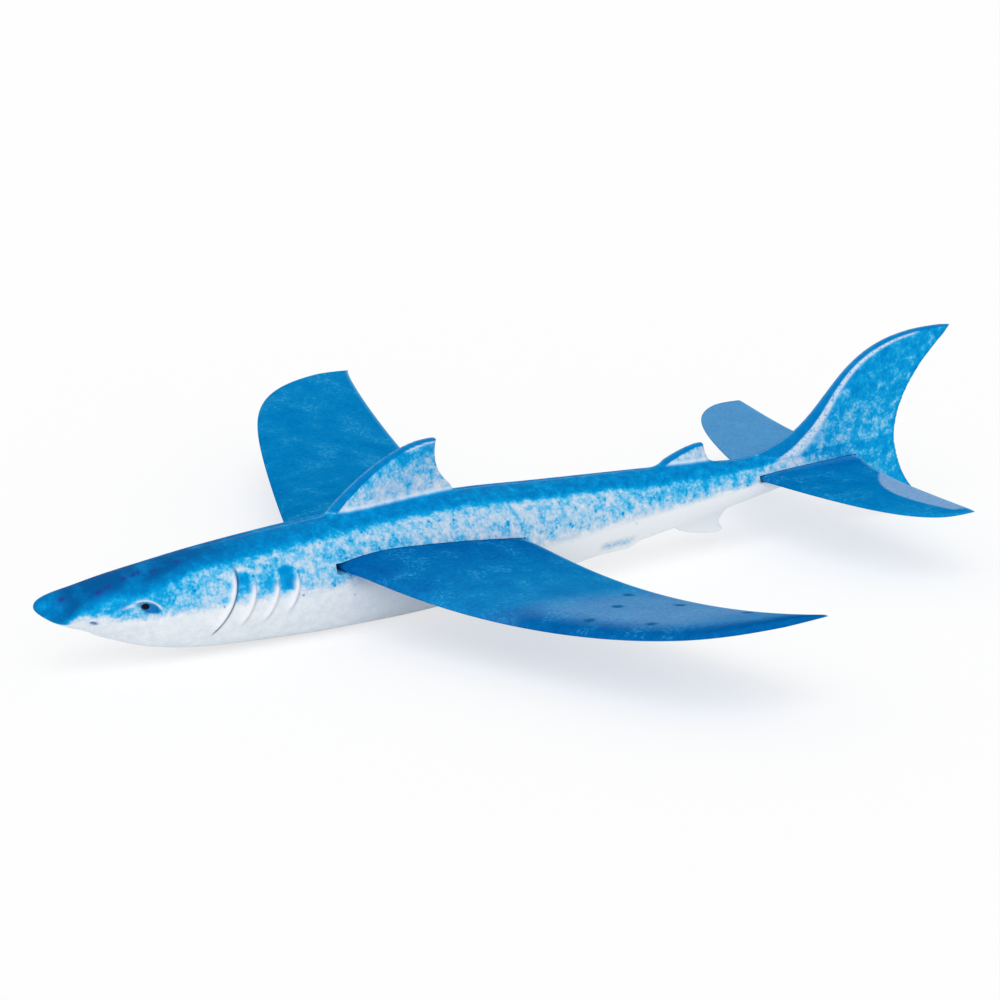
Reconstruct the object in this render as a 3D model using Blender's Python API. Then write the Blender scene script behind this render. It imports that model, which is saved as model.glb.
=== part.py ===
"""Hand-launched glider of moulded foam, with a fuselage in the form of a shark.

Two body halves are bonded on the plane of symmetry and trap a ballast slug in the nose.
A one-piece wing and a one-piece tailplane pass through closed slots in the body, and each
slides sideways in its slot. The dorsal, pelvic, anal and tail fins are moulded with the body.

Lengths are in metres. +X points aft, +Y to the right wing tip and +Z up. The origin lies on the
plane of symmetry, level with the belly and half-way between the nose and the tip of the tail fin.
"""

import math
from typing import NamedTuple

import bmesh
import bpy
import numpy as np
from mathutils import Matrix, Vector

# Body. Distances along it are measured aft from the tip of the nose.
BODY_LENGTH = 0.444
BACK_RISE = 0.0184  # highest point of the back above the tip of the nose
BELLY_DROP = 0.0342  # belly below the tip of the nose
BODY_HALF_WIDTH = 0.0225
BELLY_FLAT_HALF_WIDTH = 0.0025
BODY_STATIONS = 34
RING_STEPS = 7  # from the back to the widest level, and from there to the belly

# Shares of the body's length, back rise, belly drop and half width. The belly runs level
# between the two stations with a full drop.
BODY_PROFILE = (
    (0.000, 0.00, 0.000, 0.00),
    (0.007, 0.17, 0.130, 0.16),
    (0.020, 0.25, 0.250, 0.29),
    (0.045, 0.33, 0.400, 0.44),
    (0.079, 0.45, 0.590, 0.60),
    (0.124, 0.57, 0.790, 0.76),
    (0.180, 0.71, 0.910, 0.87),
    (0.270, 0.86, 0.980, 0.97),
    (0.320, 0.92, 1.000, 0.99),
    (0.390, 0.98, 1.000, 1.00),
    (0.430, 1.00, 0.985, 1.00),
    (0.500, 0.94, 0.905, 0.96),
    (0.563, 0.83, 0.830, 0.87),
    (0.743, 0.54, 0.520, 0.53),
    (0.883, 0.27, 0.235, 0.29),
    (0.960, 0.10, 0.135, 0.15),
    (1.000, 0.02, 0.090, 0.04),
)

# Gap on each side between a foam sheet and its slot, or between the slug and its pocket.
FIT_GAP = 0.0003

# Sheets: the wing and the tailplane.
EDGE_SHARE = 0.4  # thickness of a trailing edge, as a share of the sheet's
CAMBER_CREST_SHARE = 0.32  # highest place of the camber, as a share of the chord
THICKEST_SHARE = 0.12  # most thickness for its chord, which keeps a narrow tip thin
ROOT_EASE_SHARE = 0.05  # of the panel, over which it bends away from the centre section
CHORD_STEPS = 6  # behind the rounded leading edge
NOSE_STEPS = 4  # round the leading edge, on each side
PANEL_STATIONS = 16

# Wing. Its sweep is measured from the leading edge at the body.
WING_HALF_SPAN = 0.2075
WING_FRONT = 0.1415
WING_ROOT_CHORD = 0.093
WING_TIP_SWEEP = 0.1323
WING_THICKNESS = 0.0042
WING_TIP_THICKNESS = 0.0026
WING_CAMBER_SHARE = 0.036  # of the chord
WING_INCIDENCE = math.radians(1.8)
WING_WASHOUT = math.radians(3.6)
WING_ABOVE_MIDDLE = 0.0054  # above the body's middle height
WING_DROOP = 0.006  # inner panel below the centre section
WING_TIP_RISE = 0.0115  # tip above the centre section
WING_TRAVEL = 0.003  # sideways, each way
WING_SLOT_FRONT_GAP = 0.003
WING_SLOT_REAR_GAP = 0.0014

# Tailplane, with the same layout. It and the fins aft of the wing are placed by how far their
# fronts lie ahead of the end of the body.
TAILPLANE_HALF_SPAN = 0.0985
TAILPLANE_AHEAD = 0.0744
TAILPLANE_ROOT_CHORD = 0.0535
TAILPLANE_TIP_SWEEP = 0.0558
TAILPLANE_THICKNESS = 0.003
TAILPLANE_TIP_THICKNESS = 0.002
TAILPLANE_CAMBER_SHARE = 0.006
TAILPLANE_INCIDENCE = math.radians(-1.2)
TAILPLANE_WASHOUT = math.radians(-1.2)
TAILPLANE_ABOVE_MIDDLE = 0.0009
TAILPLANE_TRAVEL = 0.002
TAILPLANE_SLOT_FRONT_GAP = 0.0012
TAILPLANE_SLOT_REAR_GAP = 0.0014

# Fins moulded with the body. A base runs from its front for its length along the body.
FIRST_DORSAL_FRONT = 0.143
FIRST_DORSAL_BASE = 0.067
FIRST_DORSAL_HEIGHT = 0.0263
FIRST_DORSAL_THICKNESS = 0.008
SECOND_DORSAL_AHEAD = 0.132
SECOND_DORSAL_BASE = 0.038
SECOND_DORSAL_HEIGHT = 0.0098
SECOND_DORSAL_THICKNESS = 0.0042
ANAL_AHEAD = 0.122
ANAL_BASE = 0.036
ANAL_HEIGHT = 0.0102
ANAL_THICKNESS = 0.0038
PELVIC_AHEAD = 0.172
PELVIC_BASE = 0.032
PELVIC_HEIGHT = 0.003
PELVIC_THICKNESS = 0.003
PELVIC_SPACING = 0.009  # from the plane of symmetry
PELVIC_LEAN = math.radians(44)  # away from straight down
TAIL_FIN_AHEAD = 0.090  # start of the leading edge on the back
TAIL_FIN_LENGTH = 0.124  # from there to the tip of the upper lobe
TAIL_FIN_FORK = 0.0931  # from there to the notch between the lobes
TAIL_FIN_THICKNESS = 0.0062
UPPER_LOBE_HEIGHT = 0.0562  # above the end of the body
UPPER_LOBE_ROOT_DEPTH = 0.0055  # how far its root runs down into the body and the lower lobe
LOWER_LOBE_DEPTH = 0.028  # below the end of the body
LOWER_LOBE_LENGTH = 0.112  # from the front of the tail fin to the lobe's tip
FIN_ROOT_DEPTH = 0.003  # how far a fin's root runs into the body
FIN_CREST_SHARE = 0.3  # thickest place, as a share of the chord
FIN_EDGE_SHARE = 0.3  # thickness of the trailing edge, as a share of the local thickness
FIN_TIP_SHARE = 0.42  # thickness at the tip, as a share of that at the base
FIN_FLARE_SHARE = 0.5  # extra thickness where a fin meets the body
FIN_SECTIONS = 9

# Ballast slug, lying along the body.
SLUG_RADIUS = 0.003
SLUG_LENGTH = 0.012
SLUG_MIDDLE = 0.036

NAME = "shark_hand_glider"
OVERALL_LENGTH = BODY_LENGTH - TAIL_FIN_AHEAD + TAIL_FIN_LENGTH
CUTTER_MARGIN = 0.05  # how far a cutter runs past the body


class Curve(NamedTuple):
    """A cubic curve in a plane, from its start to its end by way of two handles."""

    start: tuple
    first: tuple
    second: tuple
    end: tuple

    def at(self, share):
        rest = 1 - share
        weights = (rest**3, 3 * rest**2 * share, 3 * rest * share**2, share**3)
        return sum(weight * np.array(point) for weight, point in zip(weights, self))


def monotone(places, values):
    """A smooth function through the points that never overshoots them."""
    places = np.array(places)
    gaps = np.diff(places)
    grades = np.diff(values) / gaps
    slopes = [grades[0]]
    for i in range(1, len(grades)):
        before, after = grades[i - 1], grades[i]
        near, far = 2 * gaps[i] + gaps[i - 1], gaps[i] + 2 * gaps[i - 1]
        bends = before * after <= 0
        slopes.append(0.0 if bends else (near + far) / (near / before + far / after))
    slopes.append(grades[-1])

    def value(place):
        i = min(max(int(np.searchsorted(places, place)) - 1, 0), len(gaps) - 1)
        t = (place - places[i]) / gaps[i]
        ends = values[i] * (1 + 2 * t) * (1 - t) ** 2 + values[i + 1] * (3 - 2 * t) * t**2
        return ends + gaps[i] * (slopes[i] * t * (1 - t) ** 2 - slopes[i + 1] * (1 - t) * t**2)

    return value


def place_aft(distance):
    """The X of a point this far aft of the nose."""
    return distance - OVERALL_LENGTH / 2


# Meshes


def mesh_object(name, mesh, collection, origin=(0, 0, 0)):
    """An object with its origin at the given point, and its mesh where it was built."""
    bmesh.ops.recalc_face_normals(mesh, faces=mesh.faces)
    bmesh.ops.translate(mesh, verts=mesh.verts, vec=-Vector(origin))
    made = bpy.data.objects.new(name, bpy.data.meshes.new(name))
    mesh.to_mesh(made.data)
    mesh.free()
    made.location = origin
    collection.objects.link(made)
    return made


def loft(rings, tips):
    """A closed body through rings of equally many points. Each end is a point, or flat for None."""
    mesh = bmesh.new()
    loops = [[mesh.verts.new(point) for point in ring] for ring in rings]
    for here, there in zip(loops, loops[1:]):
        for i, j in zip(range(-1, len(here) - 1), range(len(here))):
            mesh.faces.new((here[i], here[j], there[j], there[i]))
    for loop, tip in zip((loops[0], loops[-1]), tips):
        if tip is None:
            mesh.faces.new(loop)
            continue
        end = mesh.verts.new(tip)
        for i in range(-1, len(loop) - 1):
            mesh.faces.new((loop[i], loop[i + 1], end))
    return mesh


def prism(outline, half_depth):
    """An outline of (x, z) points, extruded equally to both sides of the plane of symmetry."""
    mesh = bmesh.new()
    face = mesh.faces.new([mesh.verts.new((x, -half_depth, z)) for x, z in outline])
    grown = bmesh.ops.extrude_face_region(mesh, geom=[face])["geom"]
    moved = [item for item in grown if isinstance(item, bmesh.types.BMVert)]
    bmesh.ops.translate(mesh, verts=moved, vec=(0, 2 * half_depth, 0))
    return mesh


def rod_along_body(radius, length):
    mesh = bmesh.new()
    bmesh.ops.create_cone(
        mesh, cap_ends=True, segments=24, radius1=radius, radius2=radius, depth=length
    )
    bmesh.ops.rotate(mesh, verts=mesh.verts, matrix=Matrix.Rotation(math.pi / 2, 3, "Y"))
    return mesh


def combine(target, operation, tools):
    """Joins, cuts or trims the target with helper objects, which are kept out of renders."""
    for tool in tools:
        boolean = target.modifiers.new(f"{operation.lower()}_{tool.name}", "BOOLEAN")
        boolean.operation = operation
        boolean.solver = "EXACT"
        boolean.object = tool
        tool.hide_render = True
        tool.display_type = "WIRE"


def finish(made, material):
    made.data.materials.append(material)
    made.data.shade_smooth()
    made.data.set_sharp_from_angle(angle=math.radians(40))


def surface_finish(name, colour, roughness, metallic=0.0):
    made = bpy.data.materials.new(name)
    made.use_nodes = True
    shader = made.node_tree.nodes["Principled BSDF"]
    shader.inputs["Base Color"].default_value = (*colour, 1)
    shader.inputs["Roughness"].default_value = roughness
    shader.inputs["Metallic"].default_value = metallic
    made.diffuse_color = (*colour, 1)
    return made


# Body. Its profiles run on the square root of the length, which makes the nose round.

ROOTS = [math.sqrt(row[0]) for row in BODY_PROFILE]
BACK_SHARE, BELLY_SHARE, WIDTH_SHARE = (
    monotone(ROOTS, [row[column] for row in BODY_PROFILE]) for column in (1, 2, 3)
)


def station(place):
    return math.sqrt(min(max(place / BODY_LENGTH, 0), 1))


def back(place):
    return BELLY_DROP + BACK_RISE * BACK_SHARE(station(place))


def belly(place):
    return BELLY_DROP * (1 - BELLY_SHARE(station(place)))


def middle(place):
    return (back(place) + belly(place)) / 2


def half_width(place):
    return BODY_HALF_WIDTH * WIDTH_SHARE(station(place))


def belly_flat(place):
    return BELLY_FLAT_HALF_WIDTH * WIDTH_SHARE(station(place))


def underside(place, aside):
    """Height of the body's lower surface at a distance from the plane of symmetry."""
    reach = max(0, aside - belly_flat(place)) / (half_width(place) - belly_flat(place))
    return middle(place) - (middle(place) - belly(place)) * math.sqrt(1 - reach**2)


def body_ring(place):
    """Section of the body: a round back, and an underside that ends in a narrow flat."""
    turns = [math.pi / 2 * step / RING_STEPS for step in range(RING_STEPS + 1)]
    level, half, flat = middle(place), half_width(place), belly_flat(place)
    upper = [(half * math.sin(turn), level + (back(place) - level) * math.cos(turn)) for turn in turns]
    lower = [flat + (half - flat) * math.cos(turn) for turn in turns[1:-1]] + [flat]
    side = upper + [(aside, underside(place, aside)) for aside in lower]
    crown, *right = [(place_aft(place), aside, height) for aside, height in side]
    keel = (place_aft(place), 0, belly(place))
    left = [(x, -y, z) for x, y, z in reversed(right)]
    return [crown, *right, keel, *left]


def body(collection):
    """The body without its fins, pointed at the nose and flat at its small end."""
    shares = [(step / BODY_STATIONS) ** 1.5 for step in range(1, BODY_STATIONS + 1)]
    rings = [body_ring(BODY_LENGTH * share) for share in shares]
    nose = (place_aft(0), 0, BELLY_DROP)
    return mesh_object("body_form", loft(rings, (nose, None)), collection)


# Fins

def fin_section(front, rear, thickness):
    """Ring between two (x, z) points: round in front, and thin behind."""
    side = []
    for share in (0.02, 0.08, 0.18, FIN_CREST_SHARE, 0.55, 0.8, 1):
        if share < FIN_CREST_SHARE:
            fullness = math.sqrt(1 - (1 - share / FIN_CREST_SHARE) ** 2)
        else:
            behind = (share - FIN_CREST_SHARE) / (1 - FIN_CREST_SHARE)
            fullness = 1 - (1 - FIN_EDGE_SHARE) * behind**1.6
        x, z = front + (rear - front) * share
        side.append((x, fullness * thickness / 2, z))
    return [(front[0], 0, front[1]), *side, *((x, -y, z) for x, y, z in reversed(side))]


def fin(leading, trailing, thickness, root_depth=0):
    """A fin between two curves that end at its tip, flared at its root, which runs down by a depth."""
    down = np.array((0, -root_depth))
    flared = thickness * (1 + FIN_FLARE_SHARE)
    rings = [fin_section(leading.at(0) + down, trailing.at(0) + down, flared)] if root_depth else []
    for step in range(FIN_SECTIONS):
        share = step / FIN_SECTIONS
        flare = 1 + FIN_FLARE_SHARE * max(0, 1 - 4 * share) ** 2
        thinning = 1 - (1 - FIN_TIP_SHARE) * share
        rings.append(fin_section(leading.at(share), trailing.at(share), thickness * flare * thinning))
    return loft(rings, (None, (leading.end[0], 0, leading.end[1])))


def fin_on_body(front, base, height, thickness, ground, leading, trailing, tip):
    """A fin whose handles and tip are shares of its base and height, standing on the ground curve."""

    def seated(point):
        along, up = point
        level = ground(front) + (ground(front + base) - ground(front)) * along
        return place_aft(front + along * base), level + up * height

    depth = -FIN_ROOT_DEPTH / abs(height)
    curves = ((-0.05, depth), *leading, tip), ((1.04, depth), *trailing, tip)
    return fin(*(Curve(*map(seated, curve)) for curve in curves), thickness)


def first_dorsal(collection):
    mesh = fin_on_body(
        FIRST_DORSAL_FRONT,
        FIRST_DORSAL_BASE,
        FIRST_DORSAL_HEIGHT,
        FIRST_DORSAL_THICKNESS,
        back,
        leading=((0.12, 0.33), (0.55, 1.16)),
        trailing=((1.0, 0.24), (0.82, 0.24)),
        tip=(0.87, 1),
    )
    return mesh_object("first_dorsal_form", mesh, collection)


def second_dorsal(collection):
    mesh = fin_on_body(
        BODY_LENGTH - SECOND_DORSAL_AHEAD,
        SECOND_DORSAL_BASE,
        SECOND_DORSAL_HEIGHT,
        SECOND_DORSAL_THICKNESS,
        back,
        leading=((0.01, 0.06), (0.67, 1.31)),
        trailing=((1.07, 0.47), (0.86, -0.37)),
        tip=(0.8, 1),
    )
    return mesh_object("second_dorsal_form", mesh, collection)


def anal_fin(collection):
    mesh = fin_on_body(
        BODY_LENGTH - ANAL_AHEAD,
        ANAL_BASE,
        -ANAL_HEIGHT,
        ANAL_THICKNESS,
        belly,
        leading=((0.03, 0.23), (0.82, 1.45)),
        trailing=((1.16, 0.37), (0.65, 0.14)),
        tip=(0.88, 0.98),
    )
    return mesh_object("anal_fin_form", mesh, collection)


def pelvic_fin(side, collection):
    """One of the pair that leans out from the underside. Side is -1 for left and 1 for right."""
    front = BODY_LENGTH - PELVIC_AHEAD
    mesh = fin_on_body(
        front,
        PELVIC_BASE,
        -PELVIC_HEIGHT,
        PELVIC_THICKNESS,
        lambda place: underside(place, PELVIC_SPACING),
        leading=((0.3, 0.6), (0.6, 1.0)),
        trailing=((1.03, 0.3), (1.0, 0.6)),
        tip=(0.9, 0.85),
    )
    hinge = Vector((0, 0, underside(front + PELVIC_BASE / 2, PELVIC_SPACING)))
    lean = Matrix.Rotation(side * PELVIC_LEAN, 3, "X")
    bmesh.ops.rotate(mesh, verts=mesh.verts, cent=hinge, matrix=lean)
    bmesh.ops.translate(mesh, verts=mesh.verts, vec=(0, side * PELVIC_SPACING, 0))
    name = "left_pelvic_form" if side < 0 else "right_pelvic_form"
    return mesh_object(name, mesh, collection)


def tail_point(along, up):
    """A point this far aft of the tail fin's front and above the end of the body."""
    return place_aft(BODY_LENGTH - TAIL_FIN_AHEAD + along), middle(BODY_LENGTH) + up


def upper_lobe(collection):
    length, fork, height = TAIL_FIN_LENGTH, TAIL_FIN_FORK, UPPER_LOBE_HEIGHT
    tip = tail_point(length, height)
    leading = Curve(
        tail_point(0, 0.154 * height),
        tail_point(0.537 * length, 0.13 * height),
        tail_point(0.352 * length, 1.15 * height),
        tip,
    )
    trailing = Curve(
        tail_point(fork, 0.09 * height),
        tail_point(1.005 * fork, 0.61 * height),
        tail_point(0.959 * length, 0.851 * height),
        tip,
    )
    mesh = fin(leading, trailing, TAIL_FIN_THICKNESS, UPPER_LOBE_ROOT_DEPTH)
    return mesh_object("upper_lobe_form", mesh, collection)


def lower_lobe(collection):
    length, fork, depth = LOWER_LOBE_LENGTH, TAIL_FIN_FORK, LOWER_LOBE_DEPTH
    tip = tail_point(length, -depth)
    leading = Curve(
        tail_point(0.214 * length, -0.23 * depth),
        tail_point(0.589 * length, -0.44 * depth),
        tail_point(0.839 * length, -0.8 * depth),
        tip,
    )
    trailing = Curve(
        tail_point(fork, 0.22 * depth),
        tail_point(1.024 * fork, -0.16 * depth),
        tail_point(1.047 * fork, -0.54 * depth),
        tip,
    )
    return mesh_object("lower_lobe_form", fin(leading, trailing, TAIL_FIN_THICKNESS), collection)


# Wing and tailplane

class Sheet(NamedTuple):
    """A thin cambered sheet of one piece, with a straight centre section inside the body."""

    half_span: float
    centre_half: float
    front: float
    root_chord: float
    tip_sweep: float
    thickness: float
    tip_thickness: float
    camber: float
    incidence: float
    washout: float
    level: float
    droop: float
    tip_rise: float
    leading_handles: tuple  # shares of the panel's span and of the tip's sweep
    trailing_handles: tuple

    def edge(self, start, handles):
        """A panel's edge as (span, distance from the nose), from the centre section to the tip."""
        panel = self.half_span - self.centre_half
        tip = self.front + self.tip_sweep
        first, second = ((self.centre_half + a * panel, start + b * (tip - start)) for a, b in handles)
        return Curve((self.centre_half, start), first, second, (self.half_span, tip))

    def line(self, share, chord, incidence):
        """Height of the camber line above the middle of the chord."""
        share = min(max(share, 0), 1)
        crest = CAMBER_CREST_SHARE
        over = share if share < crest else 1 - share
        span = crest if share < crest else 1 - crest
        bow = (2 * over * span - over**2) / span**2
        return self.camber * chord * bow - math.tan(incidence) * (share - 0.5) * chord

    def section(self, span, front, rear):
        """Ring across one panel: an oval leading edge, then flat faces to a blunt trailing edge."""
        chord = rear - front
        out = (abs(span) - self.centre_half) / (self.half_span - self.centre_half)
        thickness = self.thickness + (self.tip_thickness - self.thickness) * out
        thickness = min(thickness, THICKEST_SHARE * chord)
        incidence = self.incidence - self.washout * out
        nose = thickness / chord
        turns = [math.pi / 2 * step / NOSE_STEPS for step in range(1, NOSE_STEPS)]
        half = [(nose * (1 - math.cos(turn)), math.sin(turn)) for turn in turns]
        for step in range(CHORD_STEPS + 1):
            run = step / CHORD_STEPS
            half.append((nose + (1 - nose) * run, 1 - (1 - EDGE_SHARE) * run))
        eased = out**2 / (out + ROOT_EASE_SHARE)
        sag = 27 / 4 * eased * (1 - eased) ** 2
        level = self.level + self.tip_rise * out**4 - self.droop * sag

        def corner(share, side):
            height = self.line(share, chord, incidence) + side * thickness / 2
            return place_aft(front + share * chord), span, level + height

        top = [corner(share, fullness) for share, fullness in half]
        bottom = [corner(share, -fullness) for share, fullness in reversed(half)]
        return [corner(0, 0), *top, *bottom]

    def mesh(self):
        leading = self.edge(self.front, self.leading_handles)
        trailing = self.edge(self.front + self.root_chord, self.trailing_handles)
        spans, rears = zip(*(trailing.at(step / 60) for step in range(61)))
        panel = []
        for step in range(PANEL_STATIONS):
            span, front = leading.at(step / PANEL_STATIONS)
            panel.append((span, front, float(np.interp(span, spans, rears))))
        stations = [(-span, front, rear) for span, front, rear in reversed(panel)] + panel
        height = self.section(*panel[-1])[0][2]
        tips = [(place_aft(self.front + self.tip_sweep), side * self.half_span, height) for side in (-1, 1)]
        return loft([self.section(*place) for place in stations], tips)

    def slot_outline(self, front_gap, rear_gap):
        """Side view of the slot: the centre section with room in front, behind, above and below."""
        chord = self.root_chord
        steps = 2 * CHORD_STEPS
        shares = [step / steps for step in range(steps + 1)]
        places = [-front_gap / chord, *shares, 1 + rear_gap / chord]
        outline = []
        for side, run in ((1, places), (-1, reversed(places))):
            for share in run:
                taper = 1 - (1 - EDGE_SHARE) * min(max(share, 0), 1)
                room = self.thickness / 2 * taper + FIT_GAP
                height = self.level + self.line(share, chord, self.incidence) + side * room
                outline.append((place_aft(self.front + share * chord), height))
        return outline

    def origin(self):
        return place_aft(self.front + self.root_chord / 2), 0, self.level


def widest_between(front, rear):
    steps = 20
    return max(half_width(front + (rear - front) * step / steps) for step in range(steps + 1))


def wing_sheet():
    rear = WING_FRONT + WING_ROOT_CHORD
    return Sheet(
        half_span=WING_HALF_SPAN,
        centre_half=widest_between(WING_FRONT, rear) + WING_TRAVEL + FIT_GAP,
        front=WING_FRONT,
        root_chord=WING_ROOT_CHORD,
        tip_sweep=WING_TIP_SWEEP,
        thickness=WING_THICKNESS,
        tip_thickness=WING_TIP_THICKNESS,
        camber=WING_CAMBER_SHARE,
        incidence=WING_INCIDENCE,
        washout=WING_WASHOUT,
        level=middle((WING_FRONT + rear) / 2) + WING_ABOVE_MIDDLE,
        droop=WING_DROOP,
        tip_rise=WING_TIP_RISE,
        leading_handles=((0.9, 0.575), (0.998, 0.43)),
        trailing_handles=((0.539, 0.646), (0.978, 0.827)),
    )


def tailplane_sheet():
    front = BODY_LENGTH - TAILPLANE_AHEAD
    rear = front + TAILPLANE_ROOT_CHORD
    return Sheet(
        half_span=TAILPLANE_HALF_SPAN,
        centre_half=widest_between(front, rear) + TAILPLANE_TRAVEL + FIT_GAP,
        front=front,
        root_chord=TAILPLANE_ROOT_CHORD,
        tip_sweep=TAILPLANE_TIP_SWEEP,
        thickness=TAILPLANE_THICKNESS,
        tip_thickness=TAILPLANE_TIP_THICKNESS,
        camber=TAILPLANE_CAMBER_SHARE,
        incidence=TAILPLANE_INCIDENCE,
        washout=TAILPLANE_WASHOUT,
        level=middle((front + rear) / 2) + TAILPLANE_ABOVE_MIDDLE,
        droop=0,
        tip_rise=0,
        leading_handles=((0.9, 0.327), (0.998, 0.565)),
        trailing_handles=((0.24, -3.3), (0.74, -0.04)),
    )


def slot_cutter(name, sheet, front_gap, rear_gap, collection):
    depth = BODY_HALF_WIDTH + CUTTER_MARGIN
    return mesh_object(name, prism(sheet.slot_outline(front_gap, rear_gap), depth), collection)


# Ballast


def slug_place():
    return place_aft(SLUG_MIDDLE), 0, middle(SLUG_MIDDLE)


def slug_rod(name, gap, collection):
    mesh = rod_along_body(SLUG_RADIUS + gap, SLUG_LENGTH + 2 * gap)
    made = mesh_object(name, mesh, collection)
    made.location = slug_place()
    return made


# Assembly


def side_block(name, side, collection):
    """A block that fills one side of the plane of symmetry, round the whole body."""
    mesh = bmesh.new()
    bmesh.ops.create_cube(mesh, size=1)
    height = 2 * (BELLY_DROP + UPPER_LOBE_HEIGHT + LOWER_LOBE_DEPTH + CUTTER_MARGIN)
    size = (OVERALL_LENGTH + CUTTER_MARGIN, BODY_HALF_WIDTH + CUTTER_MARGIN, height)
    bmesh.ops.scale(mesh, verts=mesh.verts, vec=size)
    bmesh.ops.translate(mesh, verts=mesh.verts, vec=(0, side * size[1] / 2, 0))
    return mesh_object(name, mesh, collection)


def body_half(name, form, block, joined, cut, material, collection):
    """One side of the body with its share of the fins, slots and ballast pocket."""
    made = bpy.data.objects.new(name, form.data.copy())
    collection.objects.link(made)
    combine(made, "UNION", joined)
    combine(made, "DIFFERENCE", cut)
    combine(made, "INTERSECT", [block])
    finish(made, material)
    return made


def clear_scene():
    for made in list(bpy.data.objects):
        bpy.data.objects.remove(made, do_unlink=True)


def new_collection(name):
    made = bpy.data.collections.new(name)
    bpy.context.scene.collection.children.link(made)
    return made


def main():
    clear_scene()
    parts = new_collection(NAME)
    helpers = new_collection("cutters")
    helpers.hide_render = True

    printed_foam = surface_finish("printed_foam", (0.22, 0.52, 0.80), 0.35)
    blue_foam = surface_finish("blue_foam", (0.005, 0.20, 0.50), 0.4)
    steel = surface_finish("steel", (0.56, 0.57, 0.58), 0.35, metallic=1)

    wing, tailplane = wing_sheet(), tailplane_sheet()
    form = body(helpers)
    form.hide_render = True
    joined = [
        upper_lobe(helpers),
        lower_lobe(helpers),
        first_dorsal(helpers),
        second_dorsal(helpers),
        anal_fin(helpers),
        pelvic_fin(-1, helpers),
        pelvic_fin(1, helpers),
    ]
    cut = [
        slot_cutter("wing_slot", wing, WING_SLOT_FRONT_GAP, WING_SLOT_REAR_GAP, helpers),
        slot_cutter(
            "tailplane_slot", tailplane, TAILPLANE_SLOT_FRONT_GAP, TAILPLANE_SLOT_REAR_GAP, helpers
        ),
        slug_rod("slug_pocket", FIT_GAP, helpers),
    ]
    for name, side in (("fuselage_left_half", -1), ("fuselage_right_half", 1)):
        block = side_block(f"{name}_block", side, helpers)
        body_half(name, form, block, joined, cut, printed_foam, parts)
    finish(mesh_object("main_wing", wing.mesh(), parts, wing.origin()), blue_foam)
    finish(mesh_object("tailplane", tailplane.mesh(), parts, tailplane.origin()), blue_foam)
    finish(slug_rod("nose_weight", 0, parts), steel)


main()
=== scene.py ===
"""Dresses a hand-launched foam glider whose fuselage has the form of a shark.

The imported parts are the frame. Fine body halves, a fine wing and a fine tailplane stand for the
packed ones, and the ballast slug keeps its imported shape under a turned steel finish.

Lengths are in metres. +X points aft, +Y to the right wing tip and +Z up. Distances along the
glider are measured aft from the tip of the nose, and heights from the floor.
"""

import logging
import math
from collections.abc import Iterable, Sequence
from dataclasses import dataclass, field
from enum import Enum

import bmesh
import bpy
import numpy as np
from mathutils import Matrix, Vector
from mathutils.bvhtree import BVHTree


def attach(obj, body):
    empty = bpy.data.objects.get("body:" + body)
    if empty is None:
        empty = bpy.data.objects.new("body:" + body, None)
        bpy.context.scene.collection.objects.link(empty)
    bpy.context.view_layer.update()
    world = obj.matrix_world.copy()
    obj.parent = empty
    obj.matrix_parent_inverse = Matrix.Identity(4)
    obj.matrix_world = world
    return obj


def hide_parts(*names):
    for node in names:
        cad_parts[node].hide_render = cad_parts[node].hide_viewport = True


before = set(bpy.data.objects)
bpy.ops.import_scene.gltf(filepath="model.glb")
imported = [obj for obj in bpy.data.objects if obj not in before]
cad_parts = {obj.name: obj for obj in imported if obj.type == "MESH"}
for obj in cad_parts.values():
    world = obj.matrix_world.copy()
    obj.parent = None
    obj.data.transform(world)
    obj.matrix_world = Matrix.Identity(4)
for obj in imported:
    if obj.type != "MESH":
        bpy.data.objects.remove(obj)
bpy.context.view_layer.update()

LOG = logging.getLogger("glider")

Array = np.ndarray
Colour = tuple[float, float, float]

OVERALL_LENGTH = 0.478  # nose to the tip of the tail fin
FIT_GAP = 0.0003  # room on each side of a sheet in its slot
SMOOTH_LIMIT = math.radians(38)  # edges that turn more than this stay sharp
LEAST = 1e-4  # keeps a divisor away from 0
MIX_SHARE, MIX_UNDER, MIX_OVER, MIX_RESULT = 0, 6, 7, 2  # sockets of the Mix node that colours use


class Side(Enum):
    """A side of the plane of symmetry."""

    LEFT = -1
    RIGHT = 1


class Fusion(Enum):
    """What a Boolean does with its cutter."""

    CUT = "DIFFERENCE"
    KEEP = "INTERSECT"


# Numbers and curves


def ease(value: Array, low: float | Array, high: float | Array) -> Array:
    """A smooth step.

    Args:
        value: Where to read it.
        low: Up to here it is 0.
        high: From here on it is 1.

    Returns:
        The step's height at each value.
    """
    share = np.clip((value - low) / (high - low), 0, 1)
    return share * share * (3 - 2 * share)


def hump(value: Array, width: float | Array) -> Array:
    """A bell of height 1 at 0, which has faded at about two widths."""
    return np.exp(-((value / width) ** 2))


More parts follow.
